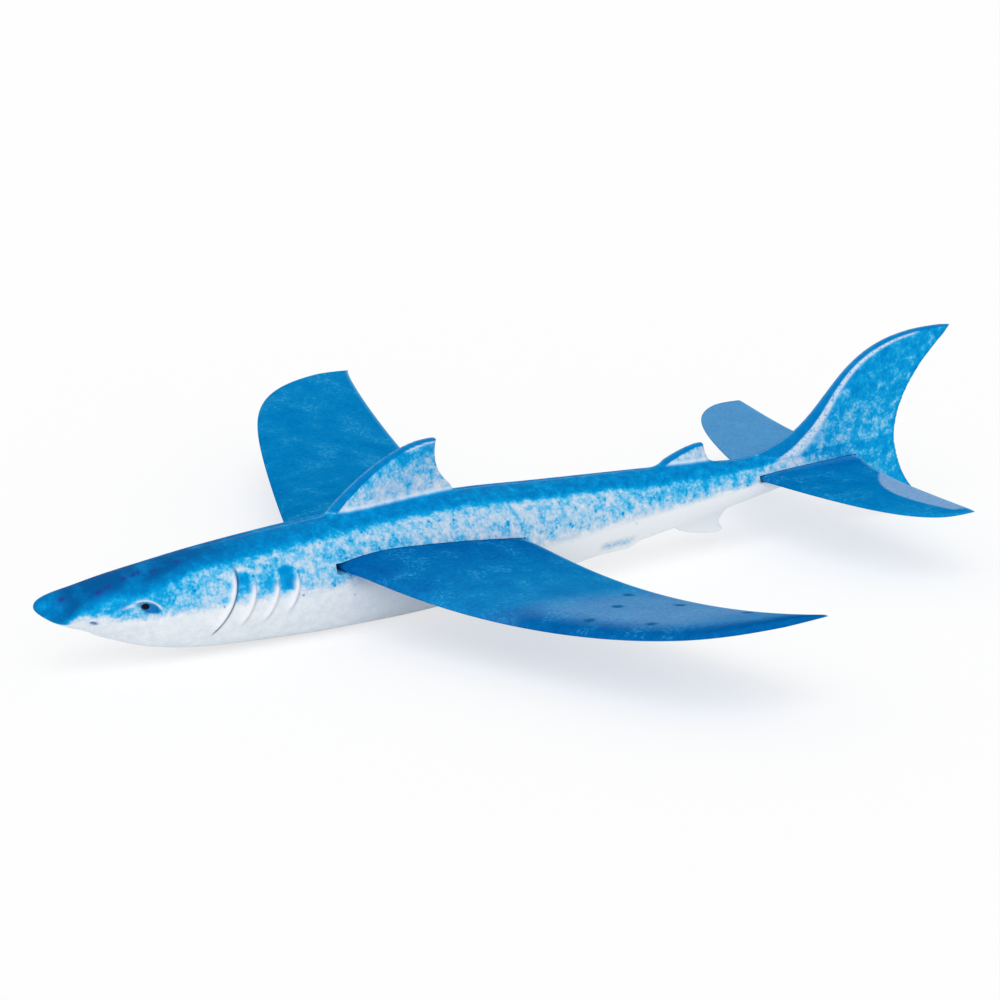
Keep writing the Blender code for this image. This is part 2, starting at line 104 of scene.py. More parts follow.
@dataclass(frozen=True)
class Profile:
    """A smooth function through given points that never overshoots them."""

    places: tuple[float, ...]
    values: tuple[float, ...]

    def slopes(self) -> Array:
        """The slope at each point, level at a peak or a dip.

        Returns:
            One slope for each point.
        """
        gaps = np.diff(self.places)
        grades = np.diff(self.values) / gaps
        made = [grades[0]]
        for before, after, gap, next_gap in zip(grades, grades[1:], gaps, gaps[1:]):
            near, far = 2 * next_gap + gap, next_gap + 2 * gap
            flat = before * after <= 0
            made.append(0.0 if flat else (near + far) / (near / before + far / after))
        return np.array([*made, grades[-1]])

    def at(self, place: Array | float) -> Array:
        """The function's value at each place, held level past its ends.

        Args:
            place: Where to read it.

        Returns:
            One value for each place.
        """
        places, values, slopes = np.array(self.places), np.array(self.values), self.slopes()
        inside = np.clip(np.asarray(place, float), places[0], places[-1])
        index = np.clip(np.searchsorted(places, inside) - 1, 0, len(places) - 2)
        gap = places[index + 1] - places[index]
        t = (inside - places[index]) / gap
        ends = values[index] * (1 + 2 * t) * (1 - t) ** 2 + values[index + 1] * (3 - 2 * t) * t**2
        turn = slopes[index] * t * (1 - t) ** 2 - slopes[index + 1] * (1 - t) * t**2
        return ends + gap * turn


@dataclass(frozen=True)
class Bend:
    """A cubic curve in a plane, from its start to its end by way of two handles."""

    start: tuple[float, float]
    first: tuple[float, float]
    second: tuple[float, float]
    end: tuple[float, float]

    def at(self, share: Array | float) -> Array:
        """Points of the curve.

        Args:
            share: Shares of the way along it, from 0 to 1.

        Returns:
            An array whose last axis holds the two coordinates.
        """
        t = np.asarray(share, float)[..., None]
        rest = 1 - t
        pull = 3 * rest**2 * t * np.array(self.first) + 3 * rest * t**2 * np.array(self.second)
        return rest**3 * np.array(self.start) + pull + t**3 * np.array(self.end)

    def nearest(self, points: Array, steps: int = 60) -> tuple[Array, Array]:
        """How far points of the plane lie from the curve.

        Args:
            points: Points, two coordinates each.
            steps: Straight pieces that the curve is read as.

        Returns:
            Distances, positive on the right hand of the way along it, and the shares of the
            way along it.
        """
        line = self.at(np.linspace(0, 1, steps + 1))
        best = np.full(len(points), np.inf)
        signed = np.zeros(len(points))
        share = np.zeros(len(points))
        for step, (a, b) in enumerate(zip(line, line[1:])):
            run = b - a
            reach = points - a
            t = np.clip(reach @ run / (run @ run), 0, 1)
            away = reach - t[:, None] * run
            distance = np.hypot(away[:, 0], away[:, 1])
            side = np.where(run[1] * reach[:, 0] - run[0] * reach[:, 1] >= 0, 1, -1)
            closer = distance < best
            best = np.where(closer, distance, best)
            signed = np.where(closer, side * distance, signed)
            share = np.where(closer, (step + t) / steps, share)
        return signed, share


# Meshes


@dataclass
class Shell:
    """A closed surface as points and faces."""

    points: Array
    faces: list[tuple[int, ...]]

    @staticmethod
    def through(rings: Array, caps: Sequence[Array | None]) -> "Shell":
        """A surface through rings of equally many points.

        Args:
            rings: Rings, points of each and coordinates of each point.
            caps: For the first and the last ring the point that closes it, or None for a
                flat end.

        Returns:
            The closed surface.
        """
        count, around = rings.shape[:2]
        points = [rings.reshape(-1, 3)]
        here = np.arange(count * around).reshape(count, around)
        after = np.roll(here, -1, axis=1)
        quads = np.stack((here[:-1], after[:-1], after[1:], here[1:]), -1).reshape(-1, 4)
        faces = [tuple(face) for face in quads.tolist()]
        extra = count * around
        for ring, cap in zip((here[0][::-1], here[-1]), caps):
            if cap is None:
                faces.append(tuple(ring.tolist()))
                continue
            points.append(np.array([cap]))
            faces += [(a, b, extra) for a, b in zip(ring.tolist(), np.roll(ring, -1).tolist())]
            extra += 1
        return Shell(np.concatenate(points), faces)

    @staticmethod
    def joined(shells: Iterable["Shell"]) -> "Shell":
        """Several surfaces in one, left overlapping.

        Args:
            shells: The surfaces.

        Returns:
            One surface with all their points and faces.
        """
        points: list[Array] = []
        faces: list[tuple[int, ...]] = []
        start = 0
        for shell in shells:
            points.append(shell.points)
            faces += [tuple(start + corner for corner in face) for face in shell.faces]
            start += len(shell.points)
        return Shell(np.concatenate(points), faces)

    def to_object(self, name: str) -> bpy.types.Object:
        """An object with this surface, its normals facing out.

        Args:
            name: The name of the object and its mesh.

        Returns:
            The object, in the scene.
        """
        mesh = bpy.data.meshes.new(name)
        mesh.from_pydata(self.points.tolist(), [], self.faces)
        work = bmesh.new()
        work.from_mesh(mesh)
        bmesh.ops.recalc_face_normals(work, faces=work.faces)
        work.to_mesh(mesh)
        work.free()
        return placed(name, mesh)

    def tree(self) -> BVHTree:
        """A search tree over the surface."""
        return BVHTree.FromPolygons(self.points.tolist(), self.faces)


def placed(name: str, data: bpy.types.ID) -> bpy.types.Object:
    """A new object in the scene.

    Args:
        name: Its name.
        data: The mesh, lamp or camera that it shows.

    Returns:
        The object.
    """
    made = bpy.data.objects.new(name, data)
    bpy.context.scene.collection.objects.link(made)
    return made


def bake_modifiers(piece: bpy.types.Object) -> None:
    """Puts the shape that an object's modifiers give into its mesh, and removes them.

    Args:
        piece: The object.
    """
    graph = bpy.context.evaluated_depsgraph_get()
    graph.update()
    made = bpy.data.meshes.new_from_object(piece.evaluated_get(graph), depsgraph=graph)
    old = piece.data
    piece.modifiers.clear()
    piece.data = made
    bpy.data.meshes.remove(old)


def carve(piece: bpy.types.Object, cutters: Iterable[bpy.types.Object], how: Fusion) -> None:
    """Cuts an object with closed cutters, and removes the cutters.

    Args:
        piece: The object that is cut.
        cutters: What cuts it.
        how: Whether the cutter's space is taken away or kept.
    """
    cutters = list(cutters)
    for cutter in cutters:
        boolean = piece.modifiers.new(how.name, "BOOLEAN")
        boolean.operation = how.value
        boolean.solver = "MANIFOLD"
        boolean.object = cutter
    bake_modifiers(piece)
    for cutter in cutters:
        bpy.data.objects.remove(cutter, do_unlink=True)


def points_of(mesh: bpy.types.Mesh) -> Array:
    """The positions of a mesh's vertices.

    Args:
        mesh: The mesh.

    Returns:
        Three coordinates for each vertex.
    """
    flat = np.empty(len(mesh.vertices) * 3)
    mesh.vertices.foreach_get("co", flat)
    return flat.reshape(-1, 3)


def set_points(mesh: bpy.types.Mesh, points: Array) -> None:
    """Moves a mesh's vertices to these positions."""
    mesh.vertices.foreach_set("co", points.reshape(-1))
    mesh.update()


def normals_of(mesh: bpy.types.Mesh) -> Array:
    """The normals of a mesh's vertices.

    Args:
        mesh: The mesh.

    Returns:
        Three coordinates for each vertex.
    """
    flat = np.empty(len(mesh.vertices) * 3)
    mesh.vertex_normals.foreach_get("vector", flat)
    return flat.reshape(-1, 3)


def relaxed(mesh: bpy.types.Mesh, points: Array, weight: Array, rounds: int) -> Array:
    """Positions after each vertex has moved towards its neighbours' mean a number of times.

    Args:
        mesh: The mesh that says which vertices are neighbours.
        points: Where the vertices are now.
        weight: How freely each vertex moves, from 0 to 1.
        rounds: How many times they move.

    Returns:
        The new positions.
    """
    pairs = np.empty(len(mesh.edges) * 2, np.int32)
    mesh.edges.foreach_get("vertices", pairs)
    a, b = pairs.reshape(-1, 2).T
    busy = (weight[a] > 0) | (weight[b] > 0)
    a, b = a[busy], b[busy]
    size = len(points)
    count = np.bincount(a, minlength=size) + np.bincount(b, minlength=size)
    count = np.maximum(count, 1)
    free = np.minimum(weight, count > 1)
    for _ in range(rounds):
        mean = np.empty_like(points)
        for axis in range(3):
            row = points[:, axis]
            total = np.bincount(a, row[b], size) + np.bincount(b, row[a], size)
            mean[:, axis] = total / count
        points = points + 0.5 * free[:, None] * (mean - points)
    return points


def paint(mesh: bpy.types.Mesh, layers: dict[str, Array]) -> None:
    """Stores values for each vertex under names that a finish reads.

    Args:
        mesh: The mesh.
        layers: The values by name.
    """
    for name, values in layers.items():
        layer = mesh.attributes.new(name, "FLOAT", "POINT")
        layer.data.foreach_set("value", np.asarray(values, np.float32))


def smooth_shaded(mesh: bpy.types.Mesh) -> None:
    """Shades a mesh smooth, apart from its sharp edges."""
    mesh.shade_smooth()
    mesh.set_sharp_from_angle(angle=SMOOTH_LIMIT)


def along(places: Array | float) -> Array | float:
    """X of points this far aft of the tip of the nose."""
    return places - OVERALL_LENGTH / 2


def aft_of_nose(x: Array) -> Array:
    """Distance aft of the tip of the nose."""
    return x + OVERALL_LENGTH / 2


# Finishes


class Board:
    """A material's nodes, with short calls to add and join them."""

    def __init__(self, name: str) -> None:
        """Starts a material with a Principled shader.

        Args:
            name: The material's name.
        """
        self.material = bpy.data.materials.new(name)
        self.material.use_nodes = True
        self.tree = self.material.node_tree
        self.shader = self.tree.nodes["Principled BSDF"]
        self.place = self.add("ShaderNodeTexCoord").outputs["Object"]

    def add(self, kind: str, **settings: object) -> bpy.types.Node:
        """A new node.

        Args:
            kind: Its type.
            settings: Its properties by name.

        Returns:
            The node.
        """
        node = self.tree.nodes.new(kind)
        for name, value in settings.items():
            setattr(node, name, value)
        return node

    def feed(self, node: bpy.types.Node, socket: str | int, value: object) -> None:
        """Joins a socket to another one, or sets it.

        Args:
            node: The node that takes the value.
            socket: The name or number of its input.
            value: An output socket, a number or a colour.
        """
        target = node.inputs[socket]
        if isinstance(value, bpy.types.NodeSocket):
            self.tree.links.new(value, target)
        elif isinstance(value, tuple) and len(value) == 3 and target.type == "RGBA":
            target.default_value = (*value, 1)
        else:
            target.default_value = value

    def layer(self, name: str) -> bpy.types.NodeSocket:
        """The values painted on the mesh under this name."""
        return self.add("ShaderNodeAttribute", attribute_name=name).outputs["Fac"]

    def noise(
        self, grain: float, detail: float = 4, roughness: float = 0.6, **more: object
    ) -> bpy.types.NodeSocket:
        """Cloudy noise about 0.5.

        Args:
            grain: Size of its largest spots, in metres.
            detail: How many finer layers lie over them.
            roughness: How strong the finer layers are.
            more: Values or sockets for its other inputs, by name.

        Returns:
            The noise.
        """
        node = self.add("ShaderNodeTexNoise")
        self.feed(node, "Vector", self.place)
        inputs = {"Scale": 1 / grain, "Detail": detail, "Roughness": roughness, **more}
        for name, value in inputs.items():
            self.feed(node, name, value)
        return node.outputs["Fac"]

    def cells(self, grain: float) -> bpy.types.NodeSocket:
        """Distance to the nearest of scattered points.

        Args:
            grain: About how far apart the points lie, in metres.

        Returns:
            The distance, in grains.
        """
        node = self.add("ShaderNodeTexVoronoi")
        self.feed(node, "Vector", self.place)
        self.feed(node, "Scale", 1 / grain)
        return node.outputs["Distance"]

    def sum(
        self, first: object, operation: str, second: object, third: object = None, clamp: bool = False
    ) -> bpy.types.NodeSocket:
        """The result of a sum on sockets or numbers.

        Args:
            first: The first value.
            operation: The sum's name, as Blender's Math node has it.
            second: The second value.
            third: The third value, for a sum that has one.
            clamp: Whether the result stays between 0 and 1.

        Returns:
            The result.
        """
        node = self.add("ShaderNodeMath", operation=operation, use_clamp=clamp)
        for number, value in enumerate((first, second, third)):
            if value is not None:
                self.feed(node, number, value)
        return node.outputs[0]

    def step(self, value: object, low: float, high: float) -> bpy.types.NodeSocket:
        """A smooth step.

        Args:
            value: What it reads.
            low: Where it is 0.
            high: Where it is 1, which may be below the low value.

        Returns:
            The step's height.
        """
        node = self.add("ShaderNodeMapRange", interpolation_type="SMOOTHSTEP")
        for name, number in (("Value", value), ("From Min", low), ("From Max", high)):
            self.feed(node, name, number)
        return node.outputs["Result"]

    def mix(self, share: object, under: object, over: object) -> bpy.types.NodeSocket:
        """One colour over another.

        Args:
            share: How far the upper colour covers the lower one.
            under: The lower colour.
            over: The upper colour.

        Returns:
            The mixed colour.
        """
        node = self.add("ShaderNodeMix", data_type="RGBA")
        self.feed(node, MIX_SHARE, share)
        self.feed(node, MIX_UNDER, under)
        self.feed(node, MIX_OVER, over)
        return node.outputs[MIX_RESULT]

    def ramp(self, value: object, stops: Sequence[tuple[float, Colour]]) -> bpy.types.NodeSocket:
        """A colour that runs through stops as a value grows.

        Args:
            value: What it reads.
            stops: Values from 0 to 1 and the colours there.

        Returns:
            The colour.
        """
        node = self.add("ShaderNodeValToRGB")
        elements = node.color_ramp.elements
        while len(elements) < len(stops):
            elements.new(0.5)
        for element, (position, colour) in zip(elements, stops):
            element.position = position
            element.color = (*colour, 1)
        self.feed(node, "Fac", value)
        return node.outputs["Color"]

    def relief(self, height: object, depth: float, strength: float) -> None:
        """Lets the surface rise and fall a little.

        Args:
            height: The height, from 0 to 1.
            depth: How far it reaches, in metres.
            strength: How much of it shows.
        """
        node = self.add("ShaderNodeBump")
        self.feed(node, "Height", height)
        self.feed(node, "Distance", depth)
        self.feed(node, "Strength", strength)
        self.feed(self.shader, "Normal", node.outputs["Normal"])


def tint(red: int, green: int, blue: int) -> Colour:
    """A display colour of 0 to 255 a channel, as the linear colour that a node takes."""
    shares = [channel / 255 for channel in (red, green, blue)]
    return tuple(s / 12.92 if s <= 0.04045 else ((s + 0.055) / 1.055) ** 2.4 for s in shares)


@dataclass(frozen=True)
class PrintedFoam:
    """Moulded bead foam with a blue print that breaks up into specks on the flanks.

    Its layers are ink, how much print there is; deep, where the print is darkest; drops, where
    single drops of ink lie; spot, where the print is violet; rim, a fin's solid edge; glint, a pale
    band behind a fin's rim, part print and part painted highlight, a pale line along a fin's root,
    and painted highlight along the seam and on the fin edges; lip, painted highlight on the raised
    gill lips, the brow and the wedge ahead of the eye; groove, painted shade in the gill creases,
    behind the gill lips, in the mouth's line and round the eye's ball; iris and pupil, the eye's
    print, the iris's blue also marking the nostrils; and cut, the slot walls, whose blue foam is
    painted deep navy as painted shade in the slots.
    """

    name: str = "printed_bead_foam"
    deep: Colour = tint(4, 88, 152)
    violet: Colour = tint(34, 56, 142)
    rim: Colour = tint(4, 119, 184)
    # Pale print, and painted highlight along the seam and on the fin edges.
    pale_print_and_glint: Colour = tint(222, 232, 243)
    # Painted highlight on the raised gill lips, the brow and the wedge ahead of the eye.
    lip: Colour = tint(236, 236, 242)
    drop: Colour = tint(12, 128, 198)
    # Painted shade in the gill creases, behind the gill lips, in the mouth's line and round the eye.
    groove_shade: Colour = tint(36, 84, 122)
    iris: Colour = tint(6, 106, 176)
    pupil: Colour = tint(20, 20, 26)
    # Deep navy of the slot walls: their blue foam darkened as painted shade in the slots.
    cut: Colour = tint(6, 44, 92)
    stops: tuple[tuple[float, Colour], ...] = (
        (0.00, tint(233, 237, 240)),
        (0.14, tint(213, 222, 231)),
        (0.25, tint(193, 212, 229)),
        (0.35, tint(163, 202, 229)),
        (0.47, tint(96, 185, 228)),
        (0.60, tint(20, 161, 218)),
        (0.76, tint(3, 143, 209)),
        (1.00, tint(3, 120, 188)),
    )

    blotch_grain: float = 0.0042
    speck_grain: float = 0.0014
    cloud_grain: float = 0.012
    drop_grain: float = 0.0040
    bead_grain: float = 0.0024
    blotch_share: float = 0.8
    speck_share: float = 0.55
    roughness: float = 0.4
    pupil_gloss: float = 0.4
    sheen: float = 0.01
    relief_depth: float = 0.00008

    def make(self) -> bpy.types.Material:
        """The material.

        Returns:
            The material, which reads its layers from the mesh.
        """
        board = Board(self.name)
        blotch = board.noise(self.blotch_grain, detail=2, roughness=0.5)
        speck = board.noise(self.speck_grain, detail=2)
        colour = self.print_colour(board, blotch, speck)
        cloud = board.noise(self.cloud_grain)
        shade = board.sum(board.layer("deep"), "MULTIPLY", board.step(cloud, 0.28, 0.58), clamp=True)
        colour = board.mix(shade, colour, self.deep)
        spots = board.sum(board.layer("spot"), "MULTIPLY", board.step(speck, 0.34, 0.42), clamp=True)
        colour = board.mix(spots, colour, self.violet)
        colour = board.mix(board.layer("rim"), colour, self.rim)
        # Pale print and painted highlight, broken up by the fine specks.
        bright = board.sum(board.layer("pale_print_and_glint"), "MULTIPLY", board.step(speck, 0.28, 0.54), clamp=True)
        colour = board.mix(bright, colour, self.pale_print_and_glint)
        # Painted highlight on the lips and brow, painted shade in the creases and in the slots, and the eye's
        # print.
        for name in ("lip", "groove_shade", "iris", "pupil", "cut"):
            colour = board.mix(board.layer(name), colour, getattr(self, name))
        board.feed(board.shader, "Base Color", colour)
        rough = board.sum(speck, "MULTIPLY_ADD", 0.3, self.roughness)
        rough = board.sum(board.layer("pupil"), "MULTIPLY_ADD", -self.pupil_gloss, rough)
        board.feed(board.shader, "Roughness", rough)
        board.feed(board.shader, "Specular IOR Level", self.sheen)
        beads = board.sum(board.cells(self.bead_grain), "MULTIPLY", 0.5)
        board.relief(board.sum(beads, "ADD", speck), self.relief_depth, 0.5)
        return board.material

    def print_colour(
        self, board: Board, blotch: bpy.types.NodeSocket, speck: bpy.types.NodeSocket
    ) -> bpy.types.NodeSocket:
        """The print's own colour, broken up into blotches, specks and drops.

        Args:
            board: The material's nodes.
            blotch: The coarse noise.
            speck: The fine noise.

        Returns:
            The colour.
        """
        coarse = board.sum(board.sum(blotch, "SUBTRACT", 0.5), "MULTIPLY", self.blotch_share)
        drift = board.sum(board.sum(speck, "SUBTRACT", 0.5), "MULTIPLY_ADD", self.speck_share, coarse)
        ink = board.layer("ink")
        level = board.sum(drift, "MULTIPLY_ADD", board.step(ink, 0.01, 0.22), ink, clamp=True)
        dots = board.step(board.cells(self.drop_grain), 0.24, 0.10)
        dots = board.sum(dots, "MULTIPLY", board.step(blotch, 0.54, 0.62))
        dots = board.sum(dots, "MULTIPLY", board.layer("drops"), clamp=True)
        return board.mix(dots, board.ramp(level, self.stops), self.drop)


@dataclass(frozen=True)
class SheetFoam:
    """Pressed foam sheet, blue all over with fine clouding and pale scuffs, greyed where sheen and light are
    painted on.

    Its layers are tone, how light the blue is, set apart for the near and the far panel so that it
    carries painted light and shade as well; worn, where painted sheen and light grey the blue; edge,
    where the cut edge shows; and mark, a small dent with its rim.
    """

    name: str = "pressed_foam_sheet"
    stops: tuple[tuple[float, Colour], ...] = (
        (0.00, tint(4, 86, 158)),
        (0.30, tint(3, 104, 174)),
        (0.60, tint(3, 126, 192)),
        (1.00, tint(24, 146, 206)),
    )
    scuff: Colour = tint(78, 172, 222)
    # Grey of the painted sheen and light.
    painted_light: Colour = tint(134, 172, 215)
    edge: Colour = tint(120, 192, 232)
    mark: Colour = tint(2, 96, 152)

    cloud_grain: float = 0.016
    fleck_grain: float = 0.0018
    curl_grain: float = 0.0042
    bead_grain: float = 0.0028
    cloud_share: float = 0.8
    fleck_share: float = 0.6
    scuff_share: float = 0.5
    roughness: float = 0.4
    relief_depth: float = 0.00006

    def make(self) -> bpy.types.Material:
        """The material.

        Returns:
            The material, which reads its layers from the mesh.
        """
        board = Board(self.name)
        cloud = board.noise(self.cloud_grain, detail=5)
        fleck = board.noise(self.fleck_grain, detail=3)
        drift = board.sum(cloud, "SUBTRACT", 0.5)
        drift = board.sum(drift, "MULTIPLY_ADD", self.cloud_share, board.layer("tone"))
        level = board.sum(fleck, "SUBTRACT", 0.5)
        level = board.sum(level, "MULTIPLY_ADD", self.fleck_share, drift, clamp=True)
        curl = board.sum(board.noise(self.curl_grain, detail=2, Distortion=1.5), "SUBTRACT", 0.5)
        scuffs = board.step(board.sum(curl, "ABSOLUTE", 0.0), 0.045, 0.012)
        scuffs = board.sum(scuffs, "MULTIPLY", board.step(fleck, 0.44, 0.56))
        scuffs = board.sum(scuffs, "MULTIPLY", board.step(cloud, 0.50, 0.62))
        scuffs = board.sum(scuffs, "MULTIPLY", self.scuff_share)
        colour = board.mix(scuffs, board.ramp(level, self.stops), self.scuff)
        # Painted sheen and light that grey the blue, broken up by the flecks.
        haze = board.sum(board.layer("painted_light"), "MULTIPLY", board.step(fleck, -0.05, 0.62), clamp=True)
        colour = board.mix(haze, colour, self.painted_light)
        for name in ("edge", "mark"):
            colour = board.mix(board.layer(name), colour, getattr(self, name))
        board.feed(board.shader, "Base Color", colour)
        board.feed(board.shader, "Roughness", board.sum(fleck, "MULTIPLY_ADD", 0.3, self.roughness))
        board.feed(board.shader, "Specular IOR Level", 0.0)
        beads = board.sum(board.cells(self.bead_grain), "MULTIPLY", 0.5)
        board.relief(board.sum(beads, "ADD", fleck), self.relief_depth, 0.4)
        return board.material


@dataclass(frozen=True)
class TurnedSteel:
    """Plain steel with fine turning marks round it."""

    name: str = "turned_steel"
    bright: Colour = (0.62, 0.63, 0.64)
    dark: Colour = (0.44, 0.45, 0.46)
    line_scale: float = 900.0
    roughness: float = 0.25
    roughness_spread: float = 0.15

    def make(self) -> bpy.types.Material:
        """The material.

        Returns:
            The material.
        """
        board = Board(self.name)
        wave = board.add("ShaderNodeTexWave", bands_direction="X")
        board.feed(wave, "Vector", board.place)
        board.feed(wave, "Scale", self.line_scale)
        board.feed(wave, "Distortion", 1.5)
        lines = wave.outputs["Fac"]
        board.feed(board.shader, "Base Color", board.mix(lines, self.dark, self.bright))
        board.feed(board.shader, "Metallic", 1.0)
        rough = board.sum(board.sum(lines, "MULTIPLY", self.roughness_spread), "ADD", self.roughness)
        board.feed(board.shader, "Roughness", rough)
        return board.material


# Body


@dataclass(frozen=True)
class Hull:
    """The body without its fins. Its profiles run on the square root of the length."""

    length: float = 0.444
    back_rise: float = 0.0184
    belly_drop: float = 0.0342
    half_width: float = 0.0225
    belly_flat: float = 0.0025
    shares: tuple[float, ...] = (
        0, 0.007, 0.020, 0.045, 0.079, 0.124, 0.180, 0.270, 0.320,
        0.390, 0.430, 0.500, 0.563, 0.743, 0.883, 0.960, 1,
    )
    back_shares: tuple[float, ...] = (
        0, 0.17, 0.25, 0.33, 0.45, 0.57, 0.71, 0.86, 0.92,
        0.98, 1.00, 0.94, 0.83, 0.54, 0.27, 0.10, 0.02,
    )
    belly_shares: tuple[float, ...] = (
        0, 0.130, 0.250, 0.400, 0.590, 0.790, 0.910, 0.980, 1.0,
        1.0, 0.985, 0.905, 0.830, 0.520, 0.235, 0.135, 0.090,
    )
    width_shares: tuple[float, ...] = (
        0, 0.16, 0.29, 0.44, 0.60, 0.76, 0.87, 0.97, 0.99,
        1.00, 1.00, 0.96, 0.87, 0.53, 0.29, 0.15, 0.04,
    )
    stations: int = 300
    steps: int = 26

    def share(self, place: Array, values: tuple[float, ...]) -> Array:
        """A profile's share of its full size at these places."""
        roots = tuple(math.sqrt(share) for share in self.shares)
        return Profile(roots, values).at(np.sqrt(np.clip(place / self.length, 0, 1)))

    def back(self, place: Array) -> Array:
        """Height of the back."""
        return self.belly_drop + self.back_rise * self.share(place, self.back_shares)

    def belly(self, place: Array) -> Array:
        """Height of the belly."""
        return self.belly_drop * (1 - self.share(place, self.belly_shares))

    def middle(self, place: Array) -> Array:
        """Height half-way between the belly and the back."""
        return (self.back(place) + self.belly(place)) / 2

    def half(self, place: Array) -> Array:
        """Half the body's width."""
        return self.half_width * self.share(place, self.width_shares)

    def flat(self, place: Array) -> Array:
        """Half the width of the flat along the belly."""
        return self.belly_flat * self.share(place, self.width_shares)

    def underside(self, place: Array, aside: float) -> Array:
        """Height of the lower surface beside the plane of symmetry.

        Args:
            place: Distances from the nose.
            aside: Distance from the plane of symmetry.

        Returns:
            One height for each place.
        """
        flat, half, middle = self.flat(place), self.half(place), self.middle(place)
        reach = np.maximum(0, aside - flat) / (half - flat)
        return middle - (middle - self.belly(place)) * np.sqrt(1 - reach**2)

    def shell(self) -> Shell:
        """The body's surface.

        Returns:
            The surface, pointed at the nose and flat at its small end.
        """
        place = self.length * (np.arange(1, self.stations + 1) / self.stations) ** 1.5
        turn = np.linspace(0, math.pi / 2, self.steps + 1)
        half, flat, middle = (f(place)[:, None] for f in (self.half, self.flat, self.middle))
        back, belly = self.back(place)[:, None], self.belly(place)[:, None]
        upper_y, upper_z = half * np.sin(turn), middle + (back - middle) * np.cos(turn)
        lower_y = flat + (half - flat) * np.cos(turn[1:])
        lower_z = middle - (middle - belly) * np.sin(turn[1:])
        right_y = np.concatenate((upper_y[:, 1:], lower_y), 1)
        right_z = np.concatenate((upper_z[:, 1:], lower_z), 1)
        y = np.concatenate((0 * half, right_y, 0 * half, -right_y[:, ::-1]), 1)
        z = np.concatenate((back, right_z, belly, right_z[:, ::-1]), 1)
        x = np.broadcast_to(along(place)[:, None], y.shape)
        nose = np.array([along(0), 0, self.belly_drop])
        return Shell.through(np.stack((x, y, z), -1), (nose, None))

    def polar(self, points: Array) -> tuple[Array, Array]:
        """Where points lie about the body's section.

        Args:
            points: Positions.

        Returns:
            How far each one stands out of the body's surface, and how far the surface there
            faces up, in degrees from -90 to 90.
        """
        place = aft_of_nose(points[:, 0])
        middle, half, flat = self.middle(place), self.half(place), self.flat(place)
        up = points[:, 2] - middle
        over = up >= 0
        room = np.where(over, self.back(place) - middle, middle - self.belly(place))
        wide = np.where(over, half, half - flat)
        side = np.maximum(np.where(over, np.abs(points[:, 1]), np.abs(points[:, 1]) - flat), 0)
        room, wide = np.maximum(room, LEAST), np.maximum(wide, LEAST)
        ratio = np.hypot(side / wide, up / room)
        proud = np.hypot(side, up) * (1 - 1 / np.maximum(ratio, 1e-3))
        past = np.maximum(place - self.length, 0)
        facing = np.degrees(np.arctan2(up / room**2, side / wide**2))
        return np.maximum(proud, past), facing


@dataclass(frozen=True)
class Fin:
    """A fin between two curves in the plane of symmetry that end at its tip."""

    name: str
    leading: Bend
    trailing: Bend
    thickness: float
    crest: float = 0.3
    edge: float = 0.3
    tip: float = 0.42
    flare: float = 0.5
    sections: int = 70
    spacing: float = 0.0
    lean: float = 0.0
    hinge: float = 0.0
    root_depth: float = 0.0
    front_steps: int = 12
    rear_steps: int = 26

    def shell(self) -> Shell:
        """The fin's surface, flared at its root, which runs straight down by the root's depth.

        Returns:
            The surface.
        """
        run = np.arange(self.sections) / self.sections
        front, rear = self.leading.at(run)[:, None], self.trailing.at(run)[:, None]
        front_shares = np.linspace(0.1, 1, self.front_steps) ** 2 * self.crest
        rear_shares = np.linspace(self.crest, 1, self.rear_steps)[1:]
        share = np.concatenate((front_shares, rear_shares))
        nose = np.sqrt(np.clip(1 - (1 - share / self.crest) ** 2, 0, 1))
        tail = 1 - (1 - self.edge) * (np.maximum(share - self.crest, 0) / (1 - self.crest)) ** 1.6
        full = np.where(share < self.crest, nose, tail)
        flare = 1 + self.flare * np.maximum(0, 1 - 4 * run) ** 2
        half = (self.thickness / 2 * flare * (1 - (1 - self.tip) * run))[:, None] * full
        side = front + (rear - front) * share[None, :, None]
        edge = np.concatenate((front[:, :1], side, side[:, ::-1]), 1)
        y = np.concatenate((0 * half[:, :1], half, -half[:, ::-1]), 1)
        rings = np.stack((edge[..., 0], y, edge[..., 1]), -1)
        rings = np.concatenate((rings[:1] - np.array([0, 0, self.root_depth]), rings))
        end = np.array([self.leading.end[0], 0, self.leading.end[1]])
        made = Shell.through(rings, (None, end))
        made.points = self.leant(made.points)
        return made

    def leant(self, points: Array) -> Array:
        """Turns points of an upright fin about its root, and moves them aside.

        Args:
            points: Points of the fin while it stands in the plane of symmetry.

        Returns:
            Their places on the body.
        """
        cos, sin = math.cos(self.lean), math.sin(self.lean)
        y, z = points[:, 1], points[:, 2] - self.hinge
        turned_y = y * cos - z * sin + self.spacing
        turned_z = y * sin + z * cos + self.hinge
        return np.stack((points[:, 0], turned_y, turned_z), -1)


